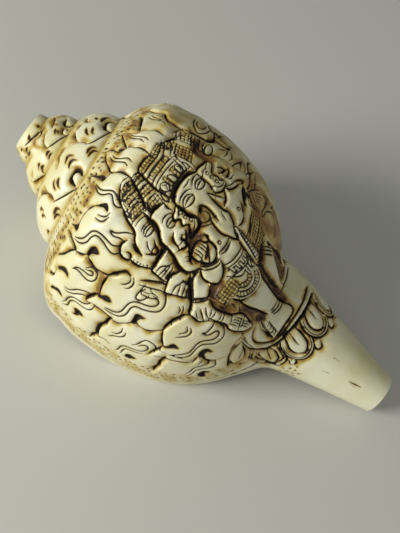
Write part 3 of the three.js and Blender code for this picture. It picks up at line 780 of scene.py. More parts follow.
# The other leg and the cloth's hem cross that ground
# Amber over the other leg's area: stain, and painted shade across it
hollow("stained", """
    86,124 88,117 90,111 96,110.4 97,114 96,120 100,124 106,130 109,140 106,144 98,143 88,142 82,140 80,132
""")
cut("outline", """
    97,118 97.6,114.6 99,111.4 101,107.8 105.4,106.8 110,108.2 114,112;
    115,121.5 112.2,120.5 109,119.8 104.8,119.5 101.6,121 98.8,121.2;
    109.4,144 107,134 103.4,127.5 99,123.5 95.4,122.8;
    97.8,119.8 101.2,122.2 105.2,127.7 108.4,134 111,144
""")
cut("engraved", """
    114.2,150 114.6,141.5 115.4,129.5 115.8,119.5 116.2,111;
    112.6,148 113,138 113.8,127.2;
    97.8,114.8 99.4,117.8 101.2,120;
    98.6,113.4 100.2,116.4 102,119;
    99.6,112 101.2,115 103,117.8;
    109.6,124 111.4,123.4;
    109.8,126 111.6,125.4;
    110,128 111.8,127.4;
    110.2,130 112,129.6;
    91,131 92.2,134.6 93.6,137.6 95.8,137.8 98,134.4 99.4,131 100,128;
    78.2,130.5 79.6,127.6 81,125 82.6,122;
    79.2,130.4 80.6,127.6 82,124.8 83.2,122.4;
    81.4,130.3 82.6,128 84.2,127 86.2,127.2 87.6,127.7;
    82.6,131.5 84,130.3 85.8,129.2 86.6,128.2;
    84,135 85,136.2 85.9,137.3;
    84.5,133.5 85.6,134.7 86.7,135.8;
    85,132 86.2,133.1 87.1,134;
    85.5,130.5 86.6,131.5 87.5,132.2;
    83.8,124.8 86,125.5 88.8,126.8;
    86.2,139 88.4,140 90,138.5 89.6,133;
    88.8,138 89.8,135 90,132 90,129 90.8,127;
    91.5,131 91.3,128 91,126.5;
    81.4,130.3 82,133.6 83.4,137 84.8,139.4;
    92.4,138.6 92.8,141 93,145
""")

# Lotus: the figure stands on an oval base with a plain raised rim, and large double-edged petals
# hang below it all round the neck of the canal. Both are cut from the shell in low relief.
cut("outline", """
    125.4,150 126,137 126.4,125 126.6,110 126.6,95 126.7,85 126.8,76.2 126.4,69.5 125.4,59.5 123.4,55
    120.8,56 118.2,60.5 116,65.8 115,70 114.3,76 113.8,82
""")
cut("deep", """
    114,63 116,58 118.4,53.8 122,48.2 125.2,49 127,59 128,71.8 127.9,78.2 128.3,90 128.6,105 128.7,115
    128.6,125 128.4,137 128.5,150
""")
# One petal, drawn about its middle at theta 78: a pale pillow, a thin lip round that, the outer
# edge, a rib, and a small tip that shows between it and the next
PETAL = [
    ("outline", """128.6,74 130.8,70 133.2,65.4 136.2,65 138.4,70 138.9,76 137.6,84.2 135.2,88.4
                   132.6,90.6 129.6,91.4"""),
    ("fine", "136.6,92.6 138.8,87.8 140,79.8 140.2,72.2 139.4,64.2 136.8,58.6 133,58.8 130.2,63"),
    ("outline", """128.8,65.2 129.8,60.8 132.2,56.6 134.8,54.8 138,56.5 140.6,64 141.4,74 141,82.5
                   139.8,90 137.4,94.6"""),
    ("engraved", "129.6,81.4 132,78.8 134.4,77"),
    ("outline", "139.6,91 141.6,86.6 143,89 142.8,95 141.2,98"),
]
PETALS = 6
PETAL_PITCH = 40.5
for step in range(PETALS):
    for kind, text in PETAL:
        cuts[kind].append(smooth_path(drawn(text)[0] + (0, step * PETAL_PITCH * DEGREE)))
# Beside the lip there is room for a smaller petal and a leaf
cut("outline", """
    124.8,42.8 125.8,37.2 129,30.5 132.4,31.5 132.6,42 131.2,47.2 128.8,51.5 127.4,51.2;
    128.4,59.3 129.6,56.8 132,53 134,49.2 134.4,43 134,33 132.2,26 129,25.5 126.6,30 124.8,35.5 124,41.8;
    122.6,46 123.4,38 125,31 128,23 131.6,20.6 134.6,25 135.4,33.5 135.6,44.5 134.8,51 132.6,55.2;
    113.9,57.6 113.6,51 114.4,45.8 116.4,38 118,31.3 120.6,28 123,29.4 123.4,34 122,40 121.2,45;
    116.4,40 117.6,36.4 119.4,36 120.2,38.2 119.6,44 118.2,49.8 116,55;
    136.6,49 138.2,43.5 139.4,47 138.8,53.5 137.8,55.5
""")
cut("engraved", "126.8,47 128.6,42 130.4,37; 117,52 117.6,47 118.4,41.5")
cut("fine", "161.8,72.8 163.4,73.4 165.2,74.8 167,76")
cut("crack", "150,92 151.5,91.4 153,91.6; 150,63 151.4,64.6 152.6,66")

# Spire: each whorl carries a row of large scales that lean over a straight slip at the seam. A
# scale holds one or two pairs of drilled commas, and some a crescent round a knob.
cut("scale", """
    22.9,109.6 20.5,109.4 19.3,107.7 18.3,105.5 17.3,101 16.8,96 16.9,90 17.2,85 18,82 19,77;
    15.8,122 16.5,117 17.5,112.5 18.7,108.5;
    17.6,140 16.6,138.4 16,135 16,131 16.1,127;
    19.3,51 21,51.4 22.2,53.3 23.5,55.2 25.5,55.2;
    21.6,50.4 20.6,47 20,42 19.7,37 19.8,30 20,25;
    12.5,22.5 13.8,26 14.5,31 15.2,40 16,48 16.6,55;
    6.9,110 7,103 7.3,97 8,92 8.8,87 10,85 11.3,85.5;
    6.3,138 7,127 7.7,118;
    15.7,155 16,149 16.5,143 17,140 17.7,139.2
""")
cut("engraved", """
    25.7,54 26.8,60 28,66 29,71 29.8,75;
    22.9,109.6 24.3,114 25.2,119 26,124 26.8,130 27.4,133;
    11.3,85.5 12.3,96 13.2,106 14,114 14.5,118;
    3.3,56 3.6,66 3.9,76 4.2,88 4.6,97 4.9,104 5.2,112 5.2,119;
    5.9,88 5.7,97 5.3,105 5.1,112;
    5.4,150 6,144 6.4,138
""")
hollow("comma", """
    22.2,72 21.9,69.4 22.4,67.2 23.7,65.9 24.9,66.2 23.8,67.2 23,69.4;
    21.1,67 21.2,64.6 22,62.4 23.2,61.6 23.8,62.4 22.6,63.4 21.8,65;
    30.3,52.8 29,53.9 27.7,52.6 27.6,50 28.4,45.6 28.8,48.6 28.7,51.2 29.4,52.6;
    31.3,48.8 30.2,49.7 29.2,48.6 28.9,46.2 29.7,42.8 29.9,46 30.2,48;
    24.4,37.4 23.3,36.6 22.6,34.4 22.9,30.6 23.5,33.2 23.7,35.8;
    26.5,36 25.4,35.4 24.6,33.2 25.1,30.4 25.6,33 25.8,35;
    30,28 30.7,27.6 30.8,25 31.2,22 30.2,24.6 29.8,26.6;
    21.4,94.4 20.1,93.4 19.5,91 19.9,88 20.8,84.6 20.5,88.6 20.4,91.6;
    23.7,92.8 22.3,92.2 21.6,89.6 22,86 23,83.4 22.6,87 22.8,90.6;
    26.6,109.8 25,108.6 24.3,105 25.2,101.2 25.2,105 25.6,107.8;
    28.1,107.8 26.4,107 25.6,104.5 26.2,99.8 26.5,103.6 27,106.2;
    18.6,127.4 18.8,124 19.6,120 21.2,117.4 20.2,121 19.4,124.8;
    20.5,129.4 20.7,125 21.4,121.4 22.6,120.3 21.8,123 21.4,126.6;
    18.7,148.4 18.9,144.5 19.6,141.8 19.8,145;
    23,150.4 21.5,148.6 20.8,145 21.4,139.8 21.9,144 22.3,147.8;
    9.1,118 9.3,112 10.5,108.4 10,112.6 9.7,116;
    10.1,118 10.2,113.4 11.5,111 10.9,114 10.6,117;
    12.9,85.4 12,82.4 12.3,78 13.3,75 12.9,79 12.9,82.6;
    14.2,84.8 13.4,82.4 13.6,78 14.4,75.2 14.2,79 14.2,82.4;
    12.3,62.4 12,59.5 12.6,56 13.5,53.4 13,57 12.8,60;
    14.1,64.2 13.5,61 14,57.4 15.4,55.4 16.5,55.8 15.2,57.2 14.5,60.6;
    2.7,116 3.3,115.4 3.4,110 2.8,109.6;
    6,143 6.6,141 6.9,135 6.4,134.4 6,138;
    2.2,84 3.2,80 3.4,74 2.8,73 2.4,78;
    4.4,57 5,52 5.2,44 4.8,46 4.2,52;
    2.8,44 3.3,40 3.2,33 2.7,37;
    5.9,55 6.7,56 7,50 6.4,43 6,48
""")
# Crescents round knobs
cut("deep", """
    26.5,145.8 25.3,145 24.2,143.5 23.6,141 23.5,138 24,135 24.8,132.8 26.3,131.7;
    28.6,85.4 27.2,86.6 26,86 25.4,83.5 25.4,80.5 26.1,77.8 27.3,76.7 28.7,76.2;
    9.8,150 9.7,143 10.2,137 11,134.4 12.6,135.6 13.2,138
""")
cut("scale", "13,125 12,126 11.6,122 12,117 13,116 14,116.5; 11.7,41.5 12,39 12.6,36.5")

# A scale of the hidden side. Each place is its share of the whorl's height and degrees round it.
SCALE_WIDTH = 0.92
SCALE_EDGE = "0.62,15.5 0.5,16.5 0.28,15 0.16,9 0.1,0 0.14,-9 0.3,-17"
SCALE_SLIP = "0.62,15.5 0.74,22 0.85,30 0.95,37"
SCALE_COMMAS = "0.3,8 0.28,3 0.36,-2 0.48,-4 0.4,0 0.37,4; 0.46,7 0.44,2 0.52,-3 0.64,-5 0.56,-1 0.53,3"
SCALE_CRESCENT = "0.96,-9 0.8,-12 0.72,-9 0.74,-4 0.86,-2"
CRESCENT_ROOM = 9
HIDDEN_SCALES = (540, 574, 608, 642, 676, 710, 905, 940, 975, 1010, 1045, 1078)


def in_row(path, phi):
    """A drawn scale's path, set down at phi, degrees back along the spiral."""
    local = phi * DEGREE + path[:, 1] * SCALE_WIDTH
    t = suture_t(local) + (suture_t(local - TAU) - suture_t(local)) * path[:, 0]
    return np.stack([t, local - np.floor(phi / 360) * TAU], 1)


for phi in HIDDEN_SCALES:
    for kind, text in (("scale", SCALE_EDGE), ("engraved", SCALE_SLIP)):
        cuts[kind].append(smooth_path(in_row(drawn(text)[0], phi)))
    for path in drawn(SCALE_COMMAS):
        regions["comma"].append(smooth_path(closed(in_row(path, phi))))
    if suture_t(phi * DEGREE - TAU) - suture_t(phi * DEGREE) > CRESCENT_ROOM:
        cuts["deep"].append(smooth_path(in_row(drawn(SCALE_CRESCENT)[0], phi)))

# Stippling: the band below the seam, a strip by the lip and the ground at the neck are pecked with
# a pointed punch, in rows that waver a little. Sizes are in mm, starts and ends in degrees or mm.
unevenness = np.random.default_rng(7)
CARVED_LAST = 292
BAND_START = 22
BAND_ROWS = 4
BAND_FIRST = 1.4
BAND_STEP = 1.45
BAND_SPACING = 2.3
BAND_DOT = 0.46
STRIP_ROWS = 5
STRIP_ENDS = (46, 132)
STRIP_FIRST = 12
STRIP_STEP = 2.1
STRIP_SPACING = 2.3
STRIP_THETA = 0.4
STRIP_FILL = 0.85
STRIP_DOT = 0.4
NECK_DOT = 0.38
NECK_DOTS = """
    137.4,28.8 137.6,18 139.6,26.3 139.4,36 141.2,14 142.8,20 141.8,27.8 141.4,37.2 141,45 143.6,33
    123.2,12 123.6,17 120.6,23 119.8,18
"""
DOT_SHIFT = 0.5
DOT_TURN = 0.014
DOT_SIZES = (0.75, 1.2)


def stipple(t, theta, radius):
    t_shift = unevenness.uniform(-DOT_SHIFT, DOT_SHIFT)
    turn = unevenness.uniform(-DOT_TURN, DOT_TURN)
    dots.append((t + t_shift, theta + turn, radius * unevenness.uniform(*DOT_SIZES)))


for row in range(BAND_ROWS):
    theta = BAND_START * DEGREE
    while theta < CARVED_LAST * DEGREE:
        below = suture_t(theta) + BAND_FIRST + BAND_STEP * row
        stipple(below, theta, BAND_DOT)
        theta += BAND_SPACING / radius_at(below, theta)
for row in range(STRIP_ROWS):
    for t in np.arange(*STRIP_ENDS, STRIP_SPACING):
        theta = (STRIP_FIRST + STRIP_STEP * row) / radius_at(t, STRIP_THETA)
        if unevenness.random() < STRIP_FILL:
            stipple(t + STRIP_SPACING / 2 * (row % 2), theta, STRIP_DOT)
for t, theta in drawn(NECK_DOTS)[0]:
    dots.append((t, theta, NECK_DOT))
cut("fine", "34.5,12 38,9.4 44,8.2 60,7.6 80,7.8 100,8.6 112,10.4 122,14.4 130,22 136,32")

# Flames on the hidden side, the same tongues in staggered rows up to a plain edge by the inner lip,
# cut as those in front are. One is drawn in mm about its own middle, along the axis and round it.
BACK_OUTLINES = """
    -8,9 -9.8,6 -10.2,2 -9,-2.5 -7,-6.5;
    10.5,11.8 7,8.8 3,7 -1,6.8 -4.5,8.4
"""
BACK_PIT = "-8,9 -6.6,10.4 -4.6,9.9 -3,7.2 -4.4,7.7 -5.6,8.9 -6.9,9.1"
BACK_WAVES = """
    -6,1.8 -4,3.6 -1.5,3.2 1,1.3 3.5,0.8 6,2.2 8.5,4;
    -5.8,0.6 -4,1.7 -1.8,1.3 0.6,-0.7 3.4,-1.3 6.3,0.1 9,1.8;
    1.5,4.8 3.4,5.2 5.2,4.6;
    -7.5,-1.5 -5.5,-2.6 -3.5,-2.2
"""
# Rows by t, first theta and pitch in degrees, and size
BACK_ROWS = [
    (34, 160, 21, 0.72), (47, 169, 25, 0.95), (66, 158, 25, 1), (86, 150, 25, 1), (105, 157, 27, 0.95),
    (119, 166, 32, 0.75),
]
BACK_MARGIN = 9
BACK_SHIFT = 1
BACK_SIZES = (0.94, 1.06)
BACK_TILT = 0.12


def back_flame(t, degrees, size, tilt):
    around = radius_at(t, degrees * DEGREE)

    def set_down(path):
        x, y = (path / (1, DEGREE)).T * size
        turned_x = x * math.cos(tilt) - y * math.sin(tilt)
        turned_y = x * math.sin(tilt) + y * math.cos(tilt)
        return np.stack([t + turned_x, degrees * DEGREE + turned_y / around], 1)

    for kind, text in (("outline", BACK_OUTLINES), ("engraved", BACK_WAVES)):
        cuts[kind].extend(smooth_path(set_down(path)) for path in drawn(text))
    regions["pit"].append(smooth_path(closed(set_down(drawn(BACK_PIT)[0]))))


for t, first, pitch, size in BACK_ROWS:
    for degrees in np.arange(first, CARVED_LAST - BACK_MARGIN, pitch):
        t_shift = unevenness.uniform(-BACK_SHIFT, BACK_SHIFT)
        growth = unevenness.uniform(*BACK_SIZES)
        back_flame(t + t_shift, degrees, size * growth, unevenness.uniform(-BACK_TILT, BACK_TILT))
cut("outline", "22.5,294 34,293.4 50,293 70,292.6 90,292.4 110,292.8 122,294 128,297")
cut("fine", "22.8,297 34,296.4 50,296 70,295.6 90,295.4 110,295.8 122,297 128,300")


def tree_of(points):
    tree = kdtree.KDTree(len(points))
    for i, point in enumerate(points.tolist()):
        tree.insert(point, i)
    tree.balance()
    return tree


def nearest(tree, points):
    found = [tree.find(point)[1:] for point in points.tolist()]
    index, distance = np.array(found).T
    return index.astype(int), distance


# Dots that fall on a cut are left out
FREE_OF_CUTS = 1.3
every_path = [path for paths in [*cuts.values(), *regions.values()] for path in paths]
every_cut = tree_of(np.concatenate([on_shell(*path.T) for path in every_path]))
_, dot_gap = nearest(every_cut, on_shell(*np.array(dots)[:, :2].T))
dots = [dot for dot, gap in zip(dots, dot_gap) if gap > FREE_OF_CUTS]

# The skin is one closed mesh of the shell's wall: the outside, the rounded edge of the lip, the
# hollow behind it and the blow hole at the cut apex. Its corners follow the cuts, and lie wider
# apart where it is plain.
LIP_SUTURE_T = float(suture_t(0))
# Zones as first t, last t, first theta, last theta in degrees, and distance between corners
ZONES = [
    (0, 27, 0, 165, 0.8), (0, 19, 165, 360, 1.15), (27, 144, 8, 165, 0.8), (19, 144, 165, 300, 1.15),
    (27, 144, 0, 8, 1.1), (19, 144, 300, 360, 1.9), (144, LENGTH, 0, 360, 1.7),
]
ROW_RATIO = 0.866
CORNER_CELL = 0.3
CUT_CLEARANCE = 0.42
EDGE_CLEARANCE = 0.45
EDGE_SPACING = 1.3
END_SIDES = 60
TAPER_LENGTH = 2.2
TAPER_END = 0.5
# Rows of corners along a cut, in half widths: at its edges, and at the end of its ink, with the
# painted shade beside its under side, where that spreads wider than WIDE_INK
CUT_EDGE = 1.1
INK_EDGE = 2.1
WIDE_INK = 1.8
HOLLOW_EDGE = 0.35
DOT_SIDES = 6
SEAM_WHORLS = 4
SEAM_ENDS = 0.02
SEAM_SPACING = 0.8
SEAM_EDGE = 0.45
INK_EDGE = 2.1
EDGE_SPACING = 1.3
TAPER_LENGTH = 2.2
TAPER_END = 0.5

# Distance along the surface and the turning that the unrolled plan needs, both down to a given t
profile_t = np.linspace(0, LENGTH, 1781)
profile_radius = shell_radius(profile_t, np.full_like(profile_t, math.pi / 2))
profile_steps = np.hypot(np.diff(profile_t), np.diff(profile_radius))
profile_length = np.concatenate([[0], np.cumsum(profile_steps)])
profile_turning = np.concatenate([[0], np.cumsum(profile_steps / profile_radius[1:])])


def taper(path):
    """Share of its full width that a cut has along its path, less at both ends."""
    points = on_shell(*path.T)
    steps = np.linalg.norm(np.diff(points, axis=0), axis=1)
    run = np.concatenate([[0], np.cumsum(steps)])
    to_end = np.minimum(run, run[-1] - run)
    return TAPER_END + (1 - TAPER_END) * smooth_step(0, TAPER_LENGTH, to_end)


def hex_places(zone):
    first_t, last_t, first_theta, last_theta, spacing = zone
    lengths = np.interp([first_t, last_t], profile_t, profile_length)
    rows = np.interp(np.arange(lengths[0] + spacing / 2, lengths[1], spacing * ROW_RATIO),
                     profile_length, profile_t)
    places = []
    for i, t in enumerate(rows):
        step = spacing / float(np.interp(t, profile_t, profile_radius))
        theta = np.arange(first_theta * DEGREE + (0.25 + 0.5 * (i % 2)) * step, last_theta * DEGREE, step)
        places.append(np.stack([np.full_like(theta, t), theta], 1))
    return np.concatenate(places)


def inside(path, places):
    """Which places lie inside a closed path."""
    result = np.zeros(len(places), bool)
    low, high = path.min(0), path.max(0)
    near = np.flatnonzero(((places >= low) & (places <= high)).all(1))
    t, theta = places[near].T[:, :, None]
    a, b = path[:-1].T[:, None], path[1:].T[:, None]
    crosses = (a[1] > theta) != (b[1] > theta)
    rise = np.where(b[1] == a[1], 1, b[1] - a[1])
    at = a[0] + (theta - a[1]) / rise * (b[0] - a[0])
    result[near] = (crosses & (t < at)).sum(1) % 2 == 1
    return result


def to_segment(points, a, b):
    run = b - a
    share = ((points - a) * run).sum(1) / np.maximum((run * run).sum(1), TINY ** 2)
    return np.linalg.norm(points - a - np.clip(share, 0, 1)[:, None] * run, axis=1)


def path_distance(paths, points, normals):
    """Distance in mm from each point to the nearest path, that path's taper there, and whether
    the point is on the path's left, its raised side."""
    corners = [on_shell(*path.T) for path in paths]
    middle = np.concatenate(corners)
    before = np.concatenate([np.concatenate([c[:1], c[:-1]]) for c in corners])
    after = np.concatenate([np.concatenate([c[1:], c[-1:]]) for c in corners])
    tapers = np.concatenate([taper(path) for path in paths])
    index, _ = nearest(tree_of(middle), points)
    distance = np.minimum(to_segment(points, middle[index], before[index]),
                          to_segment(points, middle[index], after[index]))
    left = np.cross(normals, after[index] - before[index])
    return distance, tapers[index], ((points - middle[index]) * left).sum(1) > 0


def thin_out(places):
    """The places with those left out that crowd an earlier one."""
    for shift in (0, CORNER_CELL / 2):
        cells = np.floor((on_shell(*places.T) + shift) / CORNER_CELL).astype(np.int64)
        _, first = np.unique(cells, axis=0, return_index=True)
        places = places[np.sort(first)]
    return places


# Corners on the cuts come first, then those in and round the hollows and dots, then the rest
cut_places = [path for kind in CUT_KINDS for path in cuts[kind]]
for kind, look in CUT_KINDS.items():
    for path in cuts[kind]:
        half = look["half"] * taper(path)
        for side in (-1, 1):
            cut_places.append(beside(path, side * half * CUT_EDGE))
        if look["under"][-1] > WIDE_INK:
            cut_places.append(beside(path, -half * INK_EDGE))
for kind in REGION_KINDS:
    for path in regions[kind]:
        cut_places += [path, beside(path, HOLLOW_EDGE), beside(path, -HOLLOW_EDGE)]
for t, theta, radius in dots:
    turn = np.arange(DOT_SIDES) / DOT_SIDES * TAU
    turned_theta = theta + radius * np.sin(turn) / radius_at(t, theta)
    cut_places += [np.array([[t, theta]]), np.stack([t + radius * np.cos(turn), turned_theta], 1)]
seam_places = []
for turns in range(SEAM_WHORLS):
    spacing = SEAM_SPACING / (SUTURE_RADIUS * RADIAL_RATIO ** turns)
    theta = np.arange(SEAM_ENDS, TAU - SEAM_ENDS, spacing)
    seam = np.stack([suture_t(theta + TAU * turns), theta], 1)
    seam_places += [seam + (shift, 0) for shift in (0, -SEAM_EDGE, SEAM_EDGE)]
cut_places = thin_out(np.concatenate(seam_places + cut_places))
plain_places = np.concatenate([hex_places(zone) for zone in ZONES])
_, clearance = nearest(tree_of(on_shell(*cut_places.T)), on_shell(*plain_places.T))
places = np.concatenate([cut_places, plain_places[clearance > CUT_CLEARANCE]])
from_edge = np.minimum(places[:, 1], TAU - places[:, 1]) * shell_radius(*places.T)
from_end = np.minimum(places[:, 0], LENGTH - places[:, 0])
places = places[(from_edge > EDGE_CLEARANCE) & (from_end > EDGE_CLEARANCE)]

# The four sides of the unrolled plan. Both columns beside the lip's plane share one list of t.
spire_column = np.linspace(0, LIP_SUTURE_T, round(LIP_SUTURE_T / EDGE_SPACING) + 1)
lip_column = np.linspace(LIP_SUTURE_T, LENGTH, round((LENGTH - LIP_SUTURE_T) / EDGE_SPACING) + 1)
column = np.concatenate([spire_column, lip_column[1:]])
ring_theta = np.linspace(0, TAU, END_SIDES + 1)[1:-1]
sides = [np.stack([column, np.full_like(column, theta)], 1) for theta in (0, TAU)]
sides += [np.stack([np.full_like(ring_theta, t), ring_theta], 1) for t in (0, LENGTH)]
places = np.concatenate(sides + [places])
lip_outer = np.arange(len(spire_column) - 1, len(column))
wall_side = lip_outer + len(column)
apex_ring = np.concatenate([[0], 2 * len(column) + np.arange(len(ring_theta))])
tip_ring = np.concatenate([[len(column) - 1], 2 * len(column) + len(ring_theta)
                           + np.arange(len(ring_theta)), [2 * len(column) - 1]])

plan = np.stack([np.interp(places[:, 0], profile_t, profile_turning), places[:, 1]], 1)
plan_corners = [Vector(corner) for corner in plan.tolist()]
outside_faces = np.array(delaunay_2d_cdt(plan_corners, [], [], 0, ROUNDING, False)[2])
# Above the lip's suture the two columns are one and the same line
repeated = (outside_faces > len(column) - 1) & (outside_faces < len(column) + len(spire_column))
outside_faces = np.where(repeated, outside_faces - len(column), outside_faces)
points, _, _, normals = shell_frame(*places.T)

# Depth, stain and painted shade: how far each corner lies below the shell's own surface, and how
# much ink and amber it holds. Both stand for the stain, and beside the cuts' under sides, in some
# sunk hollows and on the figure's far side they also paint shade. The stain lies thicker in some
# places, in patches about a centimetre wide.
layers = {name: np.zeros(len(points)) for name in ("depth", "sink", "ink", "amber")}
PATCH_WAVE = (0.61, 0.37, 0.45)
PATCH_BEND = (-0.33, 0.52, 0.27)
patch = 0.5 + 0.5 * np.sin(points @ PATCH_WAVE + 2 * np.sin(points @ PATCH_BEND))
# A cut's flat floor, its rim and its full ink, in half widths
FLOOR = 0.2
RIM = 1.2
FULL_INK = 0.6
# Least share of the stain's and painted shade's width, and what a patch adds, for the wash and for the
# spread ink
WASH_SHARE = (0.55, 0.9)
SPREAD_SHARE = (0.4, 1.1)
HOLLOW_INK = 0.3
DOT_DEPTH = 0.35
DOT_FLOOR = (0.2, 1.1)
DOT_INK = (0.5, 1.5)
DOT_AMBER = 0.3
DOT_WASH = 0.7


def lay(**values):
    """Brings the named layers to at least these values."""
    for name, value in values.items():
        layers[name] = np.maximum(layers[name], value)


def fade(distance, width):
    return np.exp(-(distance / width) ** 2)


def between(rise, fall, x):
    """1 between two edges, each of which is a pair of where it starts and ends."""
    return smooth_step(*rise, x) * (1 - smooth_step(*fall, x))


for kind, look in CUT_KINDS.items():
    distance, share, on_raised = path_distance(cuts[kind], points, normals)
    half = look["half"] * share
    raised, under = [np.array(look[side])[:, None] for side in ("raised", "under")]
    # On a cut's under side the wash and ink paint the shade beneath the overlapping edge as well as the
    # stain
    roll, drop, wash, strength, spread = np.where(on_raised, raised, under)
    wash = wash * (WASH_SHARE[0] + WASH_SHARE[1] * patch)
    patchy = RIM + (spread - RIM) * (SPREAD_SHARE[0] + SPREAD_SHARE[1] * patch)
    spread = np.where(on_raised, spread, patchy)
    lay(depth=look["depth"] * share * (1 - smooth_step(FLOOR * half, RIM * half, distance)),
        sink=drop * share * (1 - np.clip(distance / roll, 0, 1)) ** 2,
        ink=look["ink"] * (1 - smooth_step(FULL_INK * half, spread * half, distance)),
        amber=strength * share * fade(distance, wash))
for kind, look in REGION_KINDS.items():
    distance, _, _ = path_distance(regions[kind], points, normals)
    within = np.zeros(len(points), bool)
    for path in regions[kind]:
        within |= inside(path, places)
    gap = np.where(within, 0, distance)
    wash = look["amber"] * fade(distance, look["wash"])
    lay(depth=look["depth"] * np.where(within, smooth_step(0, look["edge"], distance), 0),
        sink=look["sink"] * (1 - np.clip(gap / look["roll"], 0, 1)) ** 2,
        ink=look["ink"] * (1 - smooth_step(0, HOLLOW_INK, gap)),
        amber=np.where(within, np.maximum(wash, look["floor"]), wash))
dot_rows = np.array(dots)
index, _ = nearest(tree_of(on_shell(dot_rows[:, 0], dot_rows[:, 1])), points)
dot_t, dot_theta, radius = dot_rows[index].T
# Seen from straight above the band, so that a dot looks round there
distance = np.hypot(places[:, 0] - dot_t, (places[:, 1] - dot_theta) * shell_radius(*places.T))
lay(depth=DOT_DEPTH * (1 - smooth_step(DOT_FLOOR[0] * radius, DOT_FLOOR[1] * radius, distance)),
    ink=1 - smooth_step(DOT_INK[0] * radius, DOT_INK[1] * radius, distance),
    amber=DOT_AMBER * fade(distance, DOT_WASH))

# The lip, the seams and the canal's end keep their line, so the cuts run out before them
FAR = 9
EDGE_FADE = 0.9
SEAM_INK = 0.55
SEAM_INK_EDGE = (0.15, 0.5)
SEAM_INK_START = 3
SEAM_AMBER = 0.35
SEAM_WASH = 1.0
SEAM_FADE = 1
from_apex, theta = places.T
degrees = theta / DEGREE
turns = turns_back(from_apex, theta)
seam_gap = from_apex - suture_t(theta + TAU * turns)
next_seam = suture_t(theta + TAU * (turns - 1)) - from_apex
seam_gap = np.minimum(seam_gap, np.where(turns > 0, next_seam, FAR))
edge_gap = np.minimum(degrees, 360 - degrees) * DEGREE * shell_radius(from_apex, theta)
edge_gap = np.where(turns == 0, edge_gap, FAR)
edge_gap = np.minimum(edge_gap, np.minimum(from_apex, LENGTH - from_apex))
whole = smooth_step(0, EDGE_FADE, edge_gap)
lay(ink=SEAM_INK * (1 - smooth_step(*SEAM_INK_EDGE, seam_gap)) * smooth_step(0, SEAM_INK_START, edge_gap),
    amber=SEAM_AMBER * fade(seam_gap, SEAM_WASH))
# Some stain stays all over the stippled band, the strip by the lip and the apex. On the figure's
# far side with the tongues above it, amber paints the shade where that side turns away from the key
# light, along with some stain. Each has its least amber and what a patch adds, then its edges.
BAND_AMBER = (0.15, 0.42)
BAND_EDGES = ((0.5, 4.5), (6, 8))
BAND_THETA = (16, 292)
STRIP_AMBER = (0.08, 0.26)
STRIP_EDGES = ((8, 13), (18, 24))
STRIP_SEAM_GAP = 6
STRIP_LAST = 134
FAR_SIDE_SHADE_AMBER = (0.14, 0.22)
FAR_SIDE_THETA = ((116, 138), (160, 175))
FAR_SIDE_T = ((33, 40), (84, 98))
APEX_AMBER = 0.55
APEX_EDGE = (0.5, 3)
APEX_LAST = 9
in_band = (turns == 0) & (degrees > BAND_THETA[0]) & (degrees < BAND_THETA[1])
lay(amber=(BAND_AMBER[0] + BAND_AMBER[1] * patch) * between(*BAND_EDGES, seam_gap) * in_band)
lip_gap = theta * shell_radius(from_apex, theta)
in_strip = (turns == 0) & (seam_gap > STRIP_SEAM_GAP) & (from_apex < STRIP_LAST)
lay(amber=(STRIP_AMBER[0] + STRIP_AMBER[1] * patch) * between(*STRIP_EDGES, lip_gap) * in_strip)
# Painted shade, with some stain, on the far side that turns away from the light
far_side_shade = between(*FAR_SIDE_THETA, degrees) * between(*FAR_SIDE_T, from_apex) * (turns == 0)
lay(amber=(FAR_SIDE_SHADE_AMBER[0] + FAR_SIDE_SHADE_AMBER[1] * patch) * far_side_shade)
lay(amber=APEX_AMBER * patch ** 2 * smooth_step(*APEX_EDGE, from_apex) * (from_apex < APEX_LAST))
carved = layers["depth"] + layers["sink"] * smooth_step(0, SEAM_FADE, seam_gap)
outside = points - normals * (carved * whole)[:, None]

# Inside: the wall of the last whorl is thinner along the canal, and its hollow narrows to nothing
# as it winds back. It stays as it grew, smooth and plain.
WALL = 3.6
CANAL_WALL = 2.9
WALL_THINS = (100, 150)
HOLLOW_DEPTH = math.radians(190)
HOLLOW_COLUMNS = 30
LEAST_ROOM = 1e-4
LIP_ROUND = 1.1
LIP_STEPS = 5


def roof_radius(t, theta):
    wall = WALL + (CANAL_WALL - WALL) * smooth_step(*WALL_THINS, t)
    return np.maximum(shell_radius(t, theta) - wall, core_radius(t, theta))


corners = [outside]
faces = [outside_faces]


def add_corners(new):
    """Adds corners to the skin and returns their numbers."""
    first = sum(len(row) for row in corners)
    corners.append(new)
    return first + np.arange(len(new))


def strip(first, second):
    """Faces between two rows of corners."""
    quads = np.stack([second[:-1], second[1:], first[1:], first[:-1]], 1)
    faces.append(quads[:, [0, 1, 2]])
    faces.append(quads[:, [0, 2, 3]])


down = (lip_column - LIP_SUTURE_T) / (LENGTH - LIP_SUTURE_T)
floors = []
roofs = []
for theta in np.linspace(0, HOLLOW_DEPTH, HOLLOW_COLUMNS + 1):
    t = suture_t(theta) + (LENGTH - suture_t(theta)) * down
    floor_radius = core_radius(t, theta)
    floor_row = wall_side if theta == 0 else add_corners(place(t, theta, floor_radius))
    open_here = roof_radius(t, theta) > floor_radius + LEAST_ROOM
    roof_row = floor_row.copy()
    roof_row[open_here] = add_corners(place(t, theta, roof_radius(t, theta))[open_here])
    floors.append(floor_row)
    roofs.append(roof_row)
floors[0][0] = lip_outer[0]
roofs[0][0] = lip_outer[0]
for i in range(HOLLOW_COLUMNS):
    strip(floors[i + 1], floors[i])
    strip(roofs[i], roofs[i + 1])
strip(roofs[-1], floors[-1])

